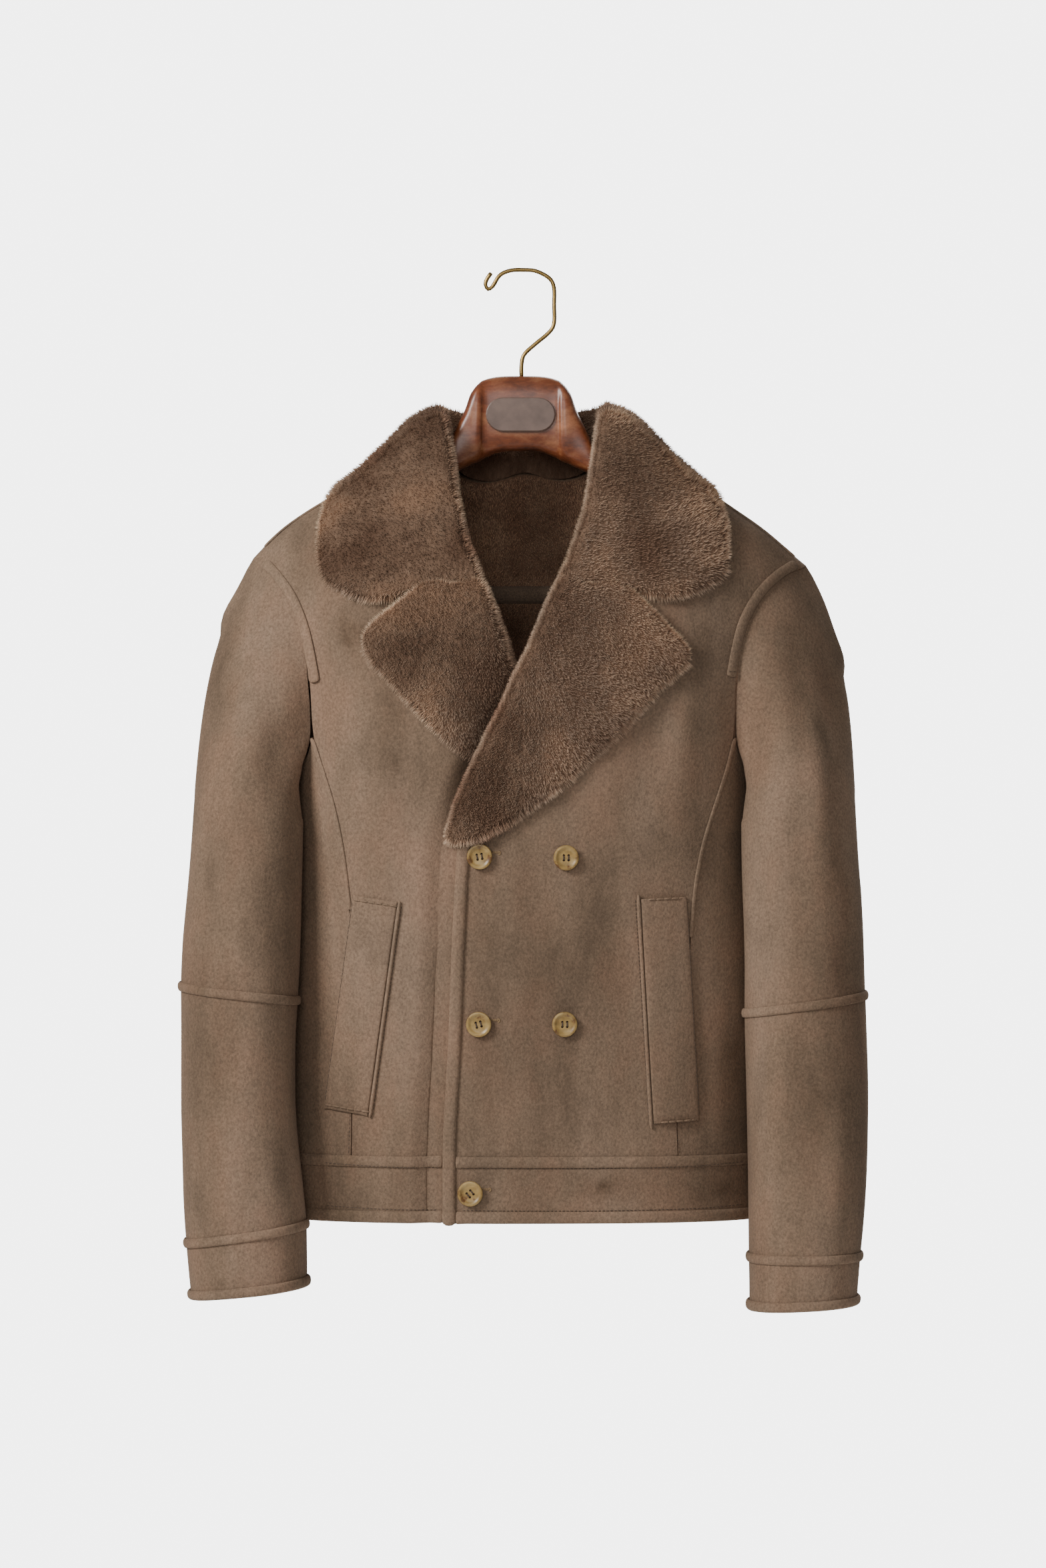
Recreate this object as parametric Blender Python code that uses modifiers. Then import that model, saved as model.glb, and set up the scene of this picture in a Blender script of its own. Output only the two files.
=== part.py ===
"""A shearling peacoat hanging buttoned on its wide wooden hanger, in metres.

X runs across the coat, Y to its back and Z up. The origin is under the top of the hook's arc.
Left and right in the names are the wearer's: the wearer's left is at +X, its front laps on top.
"""
from collections import namedtuple
from math import acos, asin, cos, pi, radians, sin, sqrt

import bmesh
import bpy
import numpy as np
from mathutils import Vector

# The skin with its wool, and the room left between pieces that touch.
WALL = 0.006
GAP = 0.0003
# What lies on a panel stands this far off it.
REST = 0.0005
# The right front sinks under the left one over this width.
LAP_RAMP = 0.020
# The wool side of the collar and lapels makes them thicker.
FUR = 0.0083
FUR_EDGE = 0.0055

# The body's rings: a flat middle and round sides, told by the exponent.
ROUND = 2.5
ROOF = 0.24  # height over which the body curves in to the shoulder ridge
NECK_X = 0.0725  # half the neck hole along the ridge
NECK_DROP = 0.043  # how far the neck hole's edge falls at the centre back
BAND_TOP = -0.7473
HEM = -0.798
SIDES = {"right": -1.0, "left": 1.0}

Ring = namedtuple("Ring", "z half_width front back")
BODY = (
    Ring(-0.800, 0.2030, 0.099, 0.090),
    Ring(-0.745, 0.2035, 0.101, 0.092),
    Ring(-0.620, 0.2020, 0.105, 0.096),
    Ring(-0.500, 0.1970, 0.109, 0.100),
    Ring(-0.422, 0.1940, 0.111, 0.102),
    Ring(-0.380, 0.2000, 0.111, 0.102),
    Ring(-0.330, 0.2160, 0.110, 0.101),
    Ring(-0.280, 0.2350, 0.107, 0.099),
    Ring(-0.240, 0.2600, 0.104, 0.097),
    Ring(-0.150, 0.2900, 0.100, 0.094),
    Ring(-0.100, 0.3000, 0.100, 0.094),
)

# The ridge of each shoulder, from the middle of the neck outwards.
Ridge = namedtuple("Ridge", "x right left")
RIDGE = (
    Ridge(0.000, -0.1230, -0.1220),
    Ridge(0.040, -0.1370, -0.1355),
    Ridge(0.0725, -0.1510, -0.1495),
    Ridge(0.120, -0.1715, -0.1690),
    Ridge(0.158, -0.1887, -0.1875),
    Ridge(0.181, -0.2020, -0.2025),
    Ridge(0.203, -0.2175, -0.2180),
    Ridge(0.2256, -0.2395, -0.2370),
    Ridge(0.245, -0.2620, -0.2535),
    Ridge(0.270, -0.2950, -0.2800),
)

# The armhole seen from the front, from the shoulder point (0) to the armpit (180).
Armhole = namedtuple("Armhole", "turn right_x right_z left_x left_z back_x back_z")
ARMHOLE = (
    Armhole(0, 0.2290, -0.2433, 0.2400, -0.2490, 0.0, 0.0),
    Armhole(20, 0.2110, -0.2610, 0.2210, -0.2590, 0.2130, -0.2620),
    Armhole(40, 0.1965, -0.2820, 0.2010, -0.2780, 0.2010, -0.2850),
    Armhole(60, 0.1855, -0.3120, 0.1860, -0.3070, 0.1945, -0.3150),
    Armhole(90, 0.1775, -0.3600, 0.1775, -0.3560, 0.1890, -0.3560),
    Armhole(120, 0.1765, -0.3940, 0.1770, -0.3940, 0.1870, -0.3930),
    Armhole(145, 0.1815, -0.4110, 0.1818, -0.4110, 0.1885, -0.4110),
    Armhole(165, 0.1888, -0.4190, 0.1888, -0.4190, 0.1915, -0.4190),
    Armhole(180, 0.1940, -0.4220, 0.1940, -0.4220, 0.1940, -0.4220),
)

# The free edge of each front: its turned edge below the break, its fold above.
Edge = namedtuple("Edge", "z left right")
FRONT_EDGE = (
    Edge(-0.8000, -0.0665, 0.0600),
    Edge(-0.7459, -0.0665, 0.0600),
    Edge(-0.6500, -0.0620, 0.0590),
    Edge(-0.5600, -0.0585, 0.0560),
    Edge(-0.4814, -0.0535, 0.0470),
    Edge(-0.4660, -0.0495, 0.0400),
    Edge(-0.4383, -0.0395, 0.0280),
    Edge(-0.4168, -0.0300, 0.0180),
    Edge(-0.3760, -0.0098, 0.0005),
    Edge(-0.3495, 0.0022, -0.0116),
    Edge(-0.2873, 0.0300, -0.0343),
    Edge(-0.2600, 0.0412, -0.0440),
    Edge(-0.2310, 0.0530, -0.0558),
    Edge(-0.2060, 0.0612, -0.0622),
    Edge(-0.1800, 0.0672, -0.0668),
    Edge(-0.1500, 0.0725, -0.0725),
    Edge(-0.1000, 0.0760, -0.0760),
)
BREAK_Z = -0.4814

# The curved seam from the armhole to the hem on each side.
Seam = namedtuple("Seam", "z right left")
SEAM = (
    Seam(-0.8000, 0.1440, 0.1300),
    Seam(-0.7400, 0.1430, 0.1290),
    Seam(-0.7000, 0.1425, 0.1280),
    Seam(-0.5900, 0.1428, 0.1370),
    Seam(-0.5500, 0.1432, 0.1400),
    Seam(-0.5200, 0.1460, 0.1430),
    Seam(-0.4870, 0.1505, 0.1490),
    Seam(-0.4480, 0.1590, 0.1610),
    Seam(-0.4240, 0.1665, 0.1690),
    Seam(-0.3940, 0.1765, 0.1770),
)

# The sleeves' rings. The tilt is how much higher the inner side of a ring is.
Tube = namedtuple("Tube", "z out half_width forward half_depth tilt")
SLEEVE = {
    "right": (
        Tube(-0.4250, 0.2280, 0.0460, 0.040, 0.060, 0.000),
        Tube(-0.4700, 0.2290, 0.0485, 0.046, 0.060, 0.000),
        Tube(-0.5150, 0.2310, 0.0494, 0.051, 0.060, -0.002),
        Tube(-0.5600, 0.2335, 0.0503, 0.056, 0.059, -0.007),
        Tube(-0.6080, 0.2365, 0.0491, 0.061, 0.058, -0.012),
        Tube(-0.6490, 0.2373, 0.0477, 0.065, 0.057, -0.008),
        Tube(-0.6940, 0.2373, 0.0477, 0.069, 0.056, 0.000),
        Tube(-0.7390, 0.2353, 0.0485, 0.072, 0.055, 0.009),
        Tube(-0.7840, 0.2320, 0.0500, 0.075, 0.054, 0.015),
        Tube(-0.8070, 0.2300, 0.0502, 0.077, 0.053, 0.016),
        Tube(-0.8290, 0.2289, 0.0494, 0.078, 0.053, 0.014),
        Tube(-0.8560, 0.2275, 0.0482, 0.079, 0.053, 0.011),
    ),
    "left": (
        Tube(-0.4250, 0.2270, 0.0485, 0.040, 0.060, 0.000),
        Tube(-0.4700, 0.2296, 0.0506, 0.046, 0.060, -0.003),
        Tube(-0.5150, 0.2310, 0.0511, 0.051, 0.060, -0.007),
        Tube(-0.5600, 0.2332, 0.0511, 0.056, 0.059, -0.011),
        Tube(-0.6170, 0.2348, 0.0511, 0.061, 0.058, -0.015),
        Tube(-0.6490, 0.2359, 0.0508, 0.065, 0.057, -0.012),
        Tube(-0.6940, 0.2369, 0.0508, 0.069, 0.056, -0.007),
        Tube(-0.7390, 0.2369, 0.0500, 0.072, 0.055, -0.003),
        Tube(-0.7840, 0.2360, 0.0486, 0.075, 0.054, -0.001),
        Tube(-0.8260, 0.2342, 0.0465, 0.077, 0.053, -0.001),
        Tube(-0.8450, 0.2336, 0.0455, 0.078, 0.053, -0.003),
        Tube(-0.8680, 0.2328, 0.0446, 0.079, 0.052, -0.005),
    ),
}
HEAD_END = -0.470  # the sleeve's head ends at this ring
TUBE_ROUND = 2.25

# Where each sleeve is seamed across: the level at its axis, the strip's width and its rise.
Across = namedtuple("Across", "side elbow cuff end")
ACROSS = (
    Across("right", -0.6080, -0.8070, -0.8560),
    Across("left", -0.6170, -0.8260, -0.8680),
)
STRIP_WIDE = 0.007
STRIP_RISE = 0.0022
BEAD_WIDE = 0.0075
BEAD_RISE = 0.0028

# Counts of rows and columns.
AROUND_SLEEVE = 20
HEAD_ROWS = 7


def curve(rows, key, column):
    """A smooth function through one named column of a table, without overshoot."""
    pairs = sorted((getattr(row, key), getattr(row, column)) for row in rows)
    xs = np.array([p[0] for p in pairs])
    ys = np.array([p[1] for p in pairs])
    steps = np.diff(xs)
    slopes = np.diff(ys) / steps
    tangents = np.zeros(len(xs))
    tangents[0], tangents[-1] = slopes[0], slopes[-1]
    for i in range(1, len(xs) - 1):
        before, after = slopes[i - 1], slopes[i]
        if before * after > 0:
            heavy = 2 * steps[i] + steps[i - 1]
            light = steps[i] + 2 * steps[i - 1]
            tangents[i] = (heavy + light) / (heavy / before + light / after)

    def read(at):
        at = min(max(at, xs[0]), xs[-1])
        i = min(int(np.searchsorted(xs, at, side="right")) - 1, len(steps) - 1)
        t = (at - xs[i]) / steps[i]
        rise = ys[i + 1] - ys[i]
        return float(
            ys[i]
            + rise * (3 * t * t - 2 * t ** 3)
            + steps[i] * tangents[i] * (t - 2 * t * t + t ** 3)
            + steps[i] * tangents[i + 1] * (t ** 3 - t * t)
        )

    return read


def ease(t):
    """0 to 1 with no corner at either end."""
    t = min(max(t, 0.0), 1.0)
    return t * t * (3 - 2 * t)


HALF_WIDTH = curve(BODY, "z", "half_width")
FRONT_DEPTH = curve(BODY, "z", "front")
BACK_DEPTH = curve(BODY, "z", "back")
RIDGE_Z = {side: curve(RIDGE, "x", side) for side in SIDES}
EDGE_X = {side: curve(FRONT_EDGE, "z", side) for side in SIDES}
SEAM_X = {side: curve(SEAM, "z", side) for side in SIDES}
TUBES = {
    side: {name: curve(rows, "z", name) for name in Tube._fields if name != "z"}
    for side, rows in SLEEVE.items()
}


def ridge(x):
    return RIDGE_Z["left" if x > 0 else "right"](abs(x))


def spread(x, z):
    """How deep the ring is at x, from 1 in the middle to 0 at its side."""
    part = min(abs(x) / HALF_WIDTH(z), 0.99999)
    return (1 - part ** ROUND) ** (1 / ROUND)


def climb(x, z):
    """0 below the roof, 1 on the shoulder ridge."""
    return max((z - ridge(x) + ROOF) / ROOF, 0.0)


def depth(x, z, back):
    full = BACK_DEPTH(z) if back else FRONT_DEPTH(z)
    return full * spread(x, z) * sqrt(max(1 - climb(x, z) ** 2, 0.0))


def level(x, y, z):
    """An implicit form of the body, 0 on its surface and more outside."""
    full = BACK_DEPTH(z) if y > 0 else FRONT_DEPTH(z)
    return (y / full) ** 2 - spread(x, z) ** 2 * (1 - climb(x, z) ** 2)


def outward(x, y, z):
    d = 0.0004
    x = max(min(x, 0.9985 * HALF_WIDTH(z)), -0.9985 * HALF_WIDTH(z))
    slope = Vector((
        level(x + d, y, z) - level(x - d, y, z),
        level(x, y + d, z) - level(x, y - d, z),
        level(x, y, z + d) - level(x, y, z - d),
    ))
    return slope.normalized()


def body(x, z, back=False, rise=0.0):
    """A point of the body's outer surface at x and z, moved out by rise."""
    y = depth(x, z, back) + GAP / 2
    y = y if back else -y
    return Vector((x, y, z)) + outward(x, y, z) * rise


def roof(x, tilt, rise=0.0, lift=0.0):
    """A point near the shoulders: tilt is 0 on the ridge, minus to the front, plus to the back."""
    z = ridge(x) - ROOF * (1 - cos(tilt))
    full = BACK_DEPTH(z) if tilt > 0 else FRONT_DEPTH(z)
    y = full * spread(x, z) * sin(tilt)
    return Vector((x, y, z)) + outward(x, y, z) * rise + Vector((0, 0, lift))


def under_lap(x, z):
    """How far the right front sinks where the left front lies on it."""
    reach = x - EDGE_X["left"](z)
    plain = 0.0069 * ease((reach + LAP_RAMP + 0.0095) / LAP_RAMP)
    lapel = 0.0092 * ease((z + 0.462) / 0.030) * ease((reach + 0.0545) / 0.0450)
    return plain + lapel


def front(side, x, z, rise=0.0):
    """A point of one front, at rise over its outer surface."""
    sink = under_lap(x, z) if side == "right" else 0.0
    return body(x, z, rise=rise - sink)


def armhole(side, turn, back=False):
    """The armhole's edge: x (unsigned) and z at this turn in degrees."""
    if back:
        rows = [row for row in ARMHOLE if row.turn]
        first = ARMHOLE[0]
        top = Armhole(0, 0, 0, 0, 0,
                      getattr(first, side + "_x"), getattr(first, side + "_z"))
        rows = [top] + rows
        return curve(rows, "turn", "back_x")(turn), curve(rows, "turn", "back_z")(turn)
    return (curve(ARMHOLE, "turn", side + "_x")(turn),
            curve(ARMHOLE, "turn", side + "_z")(turn))


Point = namedtuple("Point", "z x")
ARM_X = {}
for side in SIDES:
    for back in (False, True):
        points = [armhole(side, turn, back) for turn in range(0, 181, 5)]
        ARM_X[side, back] = curve([Point(z, x) for x, z in points], "z", "x")


def new_object(name, mesh):
    made = bpy.data.objects.new(name, mesh)
    COAT.objects.link(made)
    return made


def solid(name, points, faces, finish):
    """A closed mesh from points and faces, turned the right way out."""
    mesh = bpy.data.meshes.new(name)
    mesh.from_pydata([tuple(p) for p in points], [], faces)
    work = bmesh.new()
    work.from_mesh(mesh)
    bmesh.ops.triangulate(work, faces=[f for f in work.faces if len(f.verts) > 3])
    bmesh.ops.recalc_face_normals(work, faces=work.faces)
    if work.calc_volume(signed=True) < 0:
        bmesh.ops.reverse_faces(work, faces=work.faces)
    work.to_mesh(mesh)
    work.free()
    made = new_object(name, mesh)
    made.data.materials.append(finish)
    return made


def shell(name, outer, inner, finish, closed=False):
    """A wall between two grids of points, rows by columns. Closed wraps the columns."""
    rows, cols = len(outer), len(outer[0])
    points = [p for row in outer for p in row] + [p for row in inner for p in row]
    under = rows * cols

    def at(i, j):
        return i * cols + j % cols

    faces = []
    last = cols if closed else cols - 1
    for i in range(rows - 1):
        for j in range(last):
            quad = (at(i, j), at(i, j + 1), at(i + 1, j + 1), at(i + 1, j))
            faces.append(quad)
            faces.append(tuple(under + k for k in reversed(quad)))
    rim = [(at(0, j + 1), at(0, j)) for j in range(last)]
    rim += [(at(rows - 1, j), at(rows - 1, j + 1)) for j in range(last)]
    if not closed:
        rim += [(at(i, 0), at(i + 1, 0)) for i in range(rows - 1)]
        rim += [(at(i + 1, cols - 1), at(i, cols - 1)) for i in range(rows - 1)]
    faces += [(a, b, under + b, under + a) for a, b in rim]
    return solid(name, points, faces, finish)


def loft(name, loops, finish, ring=False):
    """A closed body through loops of points. Ring joins the last loop to the first."""
    size = len(loops[0])
    points = [p for loop in loops for p in loop]
    faces = []
    for i in range(len(loops) if ring else len(loops) - 1):
        a, b = i * size, (i + 1) % len(loops) * size
        for j in range(size):
            k = (j + 1) % size
            faces.append((a + j, a + k, b + k, b + j))
    if not ring:
        faces.append(tuple(reversed(range(size))))
        faces.append(tuple((len(loops) - 1) * size + j for j in range(size)))
    return solid(name, points, faces, finish)


# The domed section of a strip: how far across it, and how much of its rise.
Dome = namedtuple("Dome", "along rise")
DOME = (
    Dome(0.00, 0.0),
    Dome(0.20, 0.85),
    Dome(0.80, 0.85),
    Dome(1.00, 0.0),
)


def strip(name, place, stations, finish, wide, rise, ring=False):
    """A raised strip. place(station, across, rise) gives a point over the cloth."""
    loops = []
    for station in stations:
        loops.append([
            place(station, wide * p.along, REST + rise * p.rise) for p in DOME
        ])
    return loft(name, loops, finish, ring)


def finish_of(name, colour, roughness, metallic=0.0):
    made = bpy.data.materials.new(name)
    made.use_nodes = True
    shader = made.node_tree.nodes["Principled BSDF"]
    shader.inputs["Base Color"].default_value = (*colour, 1.0)
    shader.inputs["Roughness"].default_value = roughness
    shader.inputs["Metallic"].default_value = metallic
    return made


for old in list(bpy.data.objects):
    bpy.data.objects.remove(old, do_unlink=True)
COAT = bpy.data.collections.new("shearling_peacoat")
bpy.context.scene.collection.children.link(COAT)

SUEDE = finish_of("suede", (0.225, 0.160, 0.116), 0.95)
WOOL = finish_of("wool", (0.170, 0.112, 0.075), 1.0)
HORN = finish_of("horn", (0.470, 0.350, 0.180), 0.35)
WALNUT = finish_of("walnut", (0.280, 0.110, 0.050), 0.35)
FELT = finish_of("felt", (0.160, 0.110, 0.085), 0.95)
PLATE = finish_of("plate", (0.135, 0.095, 0.075), 0.5)
BRASS = finish_of("brass", (0.330, 0.240, 0.120), 0.35, 1.0)


# The body's panels: walls whose columns run from the band up to the ridge.
LOW_ROWS = 7  # rows from the band to the roof
ROOF_TURNS = (0, 4, 8, 14, 22, 32, 45, 60, 75, 83, 90)  # rows on to the ridge, in degrees
ROOF_ROWS = len(ROOF_TURNS) - 1


def column_heights(x, bottom, top=None):
    """The levels of one column of a panel, closer together towards the ridge."""
    base = ridge(x) - ROOF
    end = pi / 2 if top is None else asin(min((top - base) / ROOF, 1.0))
    low = [bottom + (base - bottom) * j / LOW_ROWS for j in range(LOW_ROWS)]
    return low + [base + ROOF * sin(end * turn / 90) for turn in ROOF_TURNS]


def settle(x, row, column_x, bottom, top_at):
    """The x and z where a column that bends with height meets its row."""
    for _ in range(60):
        top = top_at(x) if top_at else None
        z = column_heights(x, bottom, top)[row]
        x += 0.5 * (column_x(z) - x)
    return x, z


def panel(name, surface, column_x, columns, bottom, top_at=None):
    """A wall whose columns run up to the ridge, or to top_at."""
    outer, inner = [], []
    for row in range(LOW_ROWS + ROOF_ROWS + 1):
        upper, lower = [], []
        for j in range(columns + 1):
            part = j / columns
            x, z = settle(column_x(part, -0.5), row, lambda z: column_x(part, z), bottom, top_at)
            upper.append(surface(x, z, 0.0))
            lower.append(surface(x, z, -WALL))
        outer.append(upper)
        inner.append(lower)
    return shell(name, outer, inner, SUEDE)


FRONT_COLUMNS = {"left": 12, "right": 15}


def front_column(side):
    """The x of a front's columns, from its free edge (0) to the curved seam or armhole (1)."""
    sign = SIDES[side]
    inner = EDGE_X[side]

    def even(part, z):
        limit = SEAM_X[side](z) if z < SEAM[-1].z else ARM_X[side, False](z)
        return inner(z) + (sign * (limit - 2 * GAP) - inner(z)) * part

    def crowded(part, z):
        """The right front's columns close up where it sinks under the left one."""
        knots = [inner(z)]
        knots.append(min(EDGE_X["left"](z) - 0.008, inner(z) - 0.012))
        knots.append(knots[1] - 0.046)
        knots.append(even(1.0, z))
        return float(np.interp(part * 15, (0, 3, 11, 15), knots))

    return even if side == "left" else crowded


for side in SIDES:
    panel(
        "front_" + side,
        lambda x, z, rise: front(side, x, z, rise),
        front_column(side),
        FRONT_COLUMNS[side],
        BAND_TOP + GAP,
    )


def angle_of(x, z):
    """The turn round the ring at x: 0 in the middle and 90 degrees at the side."""
    return asin(min(abs(x) / HALF_WIDTH(z), 1.0) ** (ROUND / 2))


def x_at(angle, z):
    return HALF_WIDTH(z) * max(sin(angle), 0.0) ** (2 / ROUND)


BACK_COLUMNS = 20
# How far the columns under the neck hole stand from the middle.
NECK_COLUMNS = (0.0, 0.029, 0.051, 0.064, NECK_X)


def back_x(part, z):
    """Columns of the back, from one side seam or armhole to the other."""
    side = "left" if part > 0.5 else "right"
    sign = SIDES[side]
    column = abs(2 * part - 1) * BACK_COLUMNS / 2
    last = len(NECK_COLUMNS) - 1
    if column <= last:
        return sign * float(np.interp(column, range(last + 1), NECK_COLUMNS))
    limit = pi / 2
    if z > ARMHOLE[-1].left_z:
        limit = angle_of(ARM_X[side, True](z) - 2 * GAP, z)
    start = angle_of(NECK_X, z)
    share = (column - last) / (BACK_COLUMNS / 2 - last)
    return sign * x_at(start + (limit - start) * share, z)


def neck_line(x):
    """The back's upper edge: the ridge, but for the neck hole."""
    if abs(x) >= NECK_X:
        return ridge(x)
    at = abs(x) / NECK_X
    return ridge(x) - NECK_DROP * (1 - at ** 3)


panel(
    "back",
    lambda x, z, rise: body(x, z, True, rise),
    back_x,
    BACK_COLUMNS,
    BAND_TOP + GAP,
    neck_line,
)

SIDE_COLUMNS = 6
SIDE_ROWS = 9
Lower = namedtuple("Lower", "angle z")
for side, sign in SIDES.items():
    under = [armhole(side, turn) for turn in (120, 132, 145, 155, 165, 173, 180)]
    under_z = curve([Lower(angle_of(x, z), z) for x, z in under], "angle", "z")
    outer, inner = [], []
    for row in range(SIDE_ROWS + 1):
        upper, lower = [], []
        for j in range(SIDE_COLUMNS + 1):
            z = BAND_TOP + GAP
            for _ in range(30):
                start = angle_of(SEAM_X[side](z) + GAP, z)
                angle = start + (pi / 2 - start) * j / SIDE_COLUMNS
                goal = under_z(angle) - GAP
                z += 0.5 * (BAND_TOP + GAP + (goal - BAND_TOP - GAP) * row / SIDE_ROWS - z)
            x = sign * x_at(angle, z)
            upper.append(body(x, z))
            lower.append(body(x, z, rise=-WALL))
        outer.append(upper)
        inner.append(lower)
    shell("side_" + side, outer, inner, SUEDE)


# The hem band and what is sewn along it.
BAND_ROWS = 2


def band_stations(side):
    """The x of each column of a front band: those of the panels that stand on it."""
    column_x = front_column(side)
    made = [column_x(j / FRONT_COLUMNS[side], BAND_TOP) for j in range(FRONT_COLUMNS[side] + 1)]
    start = angle_of(made[-1], BAND_TOP)
    for j in range(1, SIDE_COLUMNS + 1):
        angle = start + (pi / 2 - start) * j / SIDE_COLUMNS
        made.append(SIDES[side] * x_at(angle, BAND_TOP))
    return made


def band(name, surface, xs):
    outer, inner = [], []
    for row in range(BAND_ROWS + 1):
        z = HEM + (BAND_TOP - GAP - HEM) * row / BAND_ROWS
        stretch = HALF_WIDTH(z) / HALF_WIDTH(BAND_TOP)
        outer.append([surface(x * stretch, z, 0.0) for x in xs])
        inner.append([surface(x * stretch, z, -WALL) for x in xs])
    return shell(name, outer, inner, SUEDE)


def run_along(name, surface, xs, z, wide, rise, start=None):
    """A strip across a panel at one level, through the panel's own columns, from start."""
    def place(x, across, off):
        stretch = HALF_WIDTH(z - across) / HALF_WIDTH(BAND_TOP)
        return surface(x * stretch, z - across, off)

    kept = xs
    if start is not None:
        side = np.sign(xs[-1])
        kept = [start] + [x for x in xs if side * (x - start) > 0.003]
    return strip(name, place, kept, SUEDE, wide, rise)


BAND_STRIP_Z = BAND_TOP + 0.0045
HEM_BEAD_Z = HEM + 0.0095
FRONT_BEAD_WIDE = 0.0098
back_xs = [back_x(j / BACK_COLUMNS, BAND_TOP) for j in range(BACK_COLUMNS + 1)]
bands = {"back": (lambda x, z, rise: body(x, z, True, rise), back_xs, None)}
lap = EDGE_X["left"](BAND_TOP)
starts = {"left": lap + FRONT_BEAD_WIDE + 0.0015, "right": lap - 0.0015}
for side in SIDES:
    bands[side] = (
        lambda x, z, rise, side=side: front(side, x, z, rise),
        band_stations(side),
        starts[side],
    )
for part, (surface, xs, start) in bands.items():
    band("band_" + part, surface, xs)
    run_along("band_strip_" + part, surface, xs, BAND_STRIP_Z, 0.0085, 0.0020, start)
    run_along("hem_bead_" + part, surface, xs, HEM_BEAD_Z, 0.0090, 0.0022, start)


def bead_place(z, across, off):
    return front("left", EDGE_X["left"](z) + 0.0004 + across, z, off)


bead_levels = np.linspace(HEM + 0.0005, BREAK_Z - 0.004, 26)
strip("front_bead", bead_place, bead_levels, SUEDE, FRONT_BEAD_WIDE, 0.0032)


# Strips on the seams.
SEAM_END = {"right": -0.5365, "left": -0.5590}
for side, sign in SIDES.items():
    levels = np.linspace(SEAM_END[side], SEAM[-1].z - 0.003, 14)

    def seam_place(z, across, off):
        return front("left", sign * (SEAM_X[side](z) - 0.0016 + across), z, off)

    strip("seam_strip_" + side, seam_place, levels, SUEDE, 0.0032, 0.0012)

    def armhole_place(turn, across, off):
        x, z = armhole(side, turn)
        ahead = armhole(side, turn + 2)
        run = Vector((ahead[0] - x, ahead[1] - z)).normalized()
        inset = across + 0.0012
        return front("left", sign * (x + run.y * inset), z - run.x * inset, off)

    strip("armhole_strip_" + side, armhole_place, np.linspace(10, 82, 16), SUEDE, 0.0075, 0.0020)

    def shoulder_place(x, across, off):
        return roof(sign * x, -radians(6.0) - across / 0.1, off)

    reach = armhole(side, 0)[0]
    strip("shoulder_strip_" + side, shoulder_place, np.linspace(0.163, reach - 0.012, 9),
          SUEDE, 0.0040, 0.0012)


def power(value, exponent):
    return (1 if value >= 0 else -1) * abs(value) ** exponent


def tube(side, z, turn):
    """A point of a sleeve's ring: turn 0 is outside, 90 in front, 180 towards the body."""
    t = TUBES[side]
    c = power(cos(turn), 2 / TUBE_ROUND)
    s = power(sin(turn), 2 / TUBE_ROUND)
    x = t["out"](z) + t["half_width"](z) * c
    y = -t["forward"](z) - t["half_depth"](z) * s
    return keep_clear(side, x, y, z - t["tilt"](z) / 2 * cos(turn))


def keep_clear(side, x, y, z):
    """Leans a sleeve's point on the body's side instead of going into it."""
    full = (BACK_DEPTH(z) if y > 0 else FRONT_DEPTH(z)) + 0.0035
    across = min(abs(y) / full, 1.0)
    limit = (HALF_WIDTH(z) + 0.0030) * (1 - across ** ROUND) ** (1 / ROUND)
    # Beside the armhole the sleeve is sewn to the body, and nothing holds it off.
    limit -= 0.0008 * ease((z + 0.450) / 0.030) + 0.06 * ease((z + 0.415) / 0.030)
    soft = 0.004 - 0.003 * ease((z + 0.450) / 0.030)
    over = limit - x
    x += 0.5 * (over + sqrt(over * over + soft * soft))
    return Vector((SIDES[side] * x, y, z))


def armhole_ring(side, turn):
    """The armhole's 3D edge and the way off it, away from the panel."""
    degrees = turn * 180 / pi
    back = degrees > 180
    here = 360 - degrees if back else degrees
    x, z = armhole(side, here, back)
    sign = SIDES[side]
    if here > 176:
        return Vector((sign * (HALF_WIDTH(z) + 0.0024), 0.0, z)), Vector((0, 0, 1))
    point = body(sign * x, z, back)
    near = max(here - 2, 0), min(here + 2, 178)
    a, b = (armhole(side, h, back) for h in near)
    along = body(sign * b[0], b[1], back) - body(sign * a[0], a[1], back)
    normal = outward(*point)
    off = along.cross(normal).normalized()
    if off.dot(Vector((sign, 0, 0.3))) < 0:
        off.negate()
    if here < 4:
        off = Vector((sign * 0.743, 0, -0.669))
    # Towards the armpit the sleeve comes to lie outside the side piece.
    low = ease((here - 105) / 35)
    return point + off * GAP * 4.5 * (1 - low) + normal * 0.0024 * low, off


def head(side, turn, t):
    """The sleeve's head, from the armhole at 0 to its first ring at 1."""
    start, _ = armhole_ring(side, turn)
    end = tube(side, HEAD_END, turn)
    beyond = tube(side, HEAD_END - 0.01, turn)
    length = (end - start).length
    sign = SIDES[side]
    top = max(cos(turn), 0.0)
    low = max(-cos(turn), 0.0)
    lean = Vector((
        sign * (0.62 - 0.10 * top - 0.60 * low),
        -0.35 * sin(turn) * (1 - low),
        -0.55 - 0.35 * top - 0.45 * low,
    )).normalized() * length * 1.05
    fall = (beyond - end).normalized() * length * 0.95
    point = (
        start * (2 * t ** 3 - 3 * t * t + 1)
        + lean * (t ** 3 - 2 * t * t + t)
        + end * (3 * t * t - 2 * t ** 3)
        + fall * (t ** 3 - t * t)
    )
    if t == 0:
        return point
    return keep_clear(side, sign * point.x, point.y, point.z)


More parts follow.
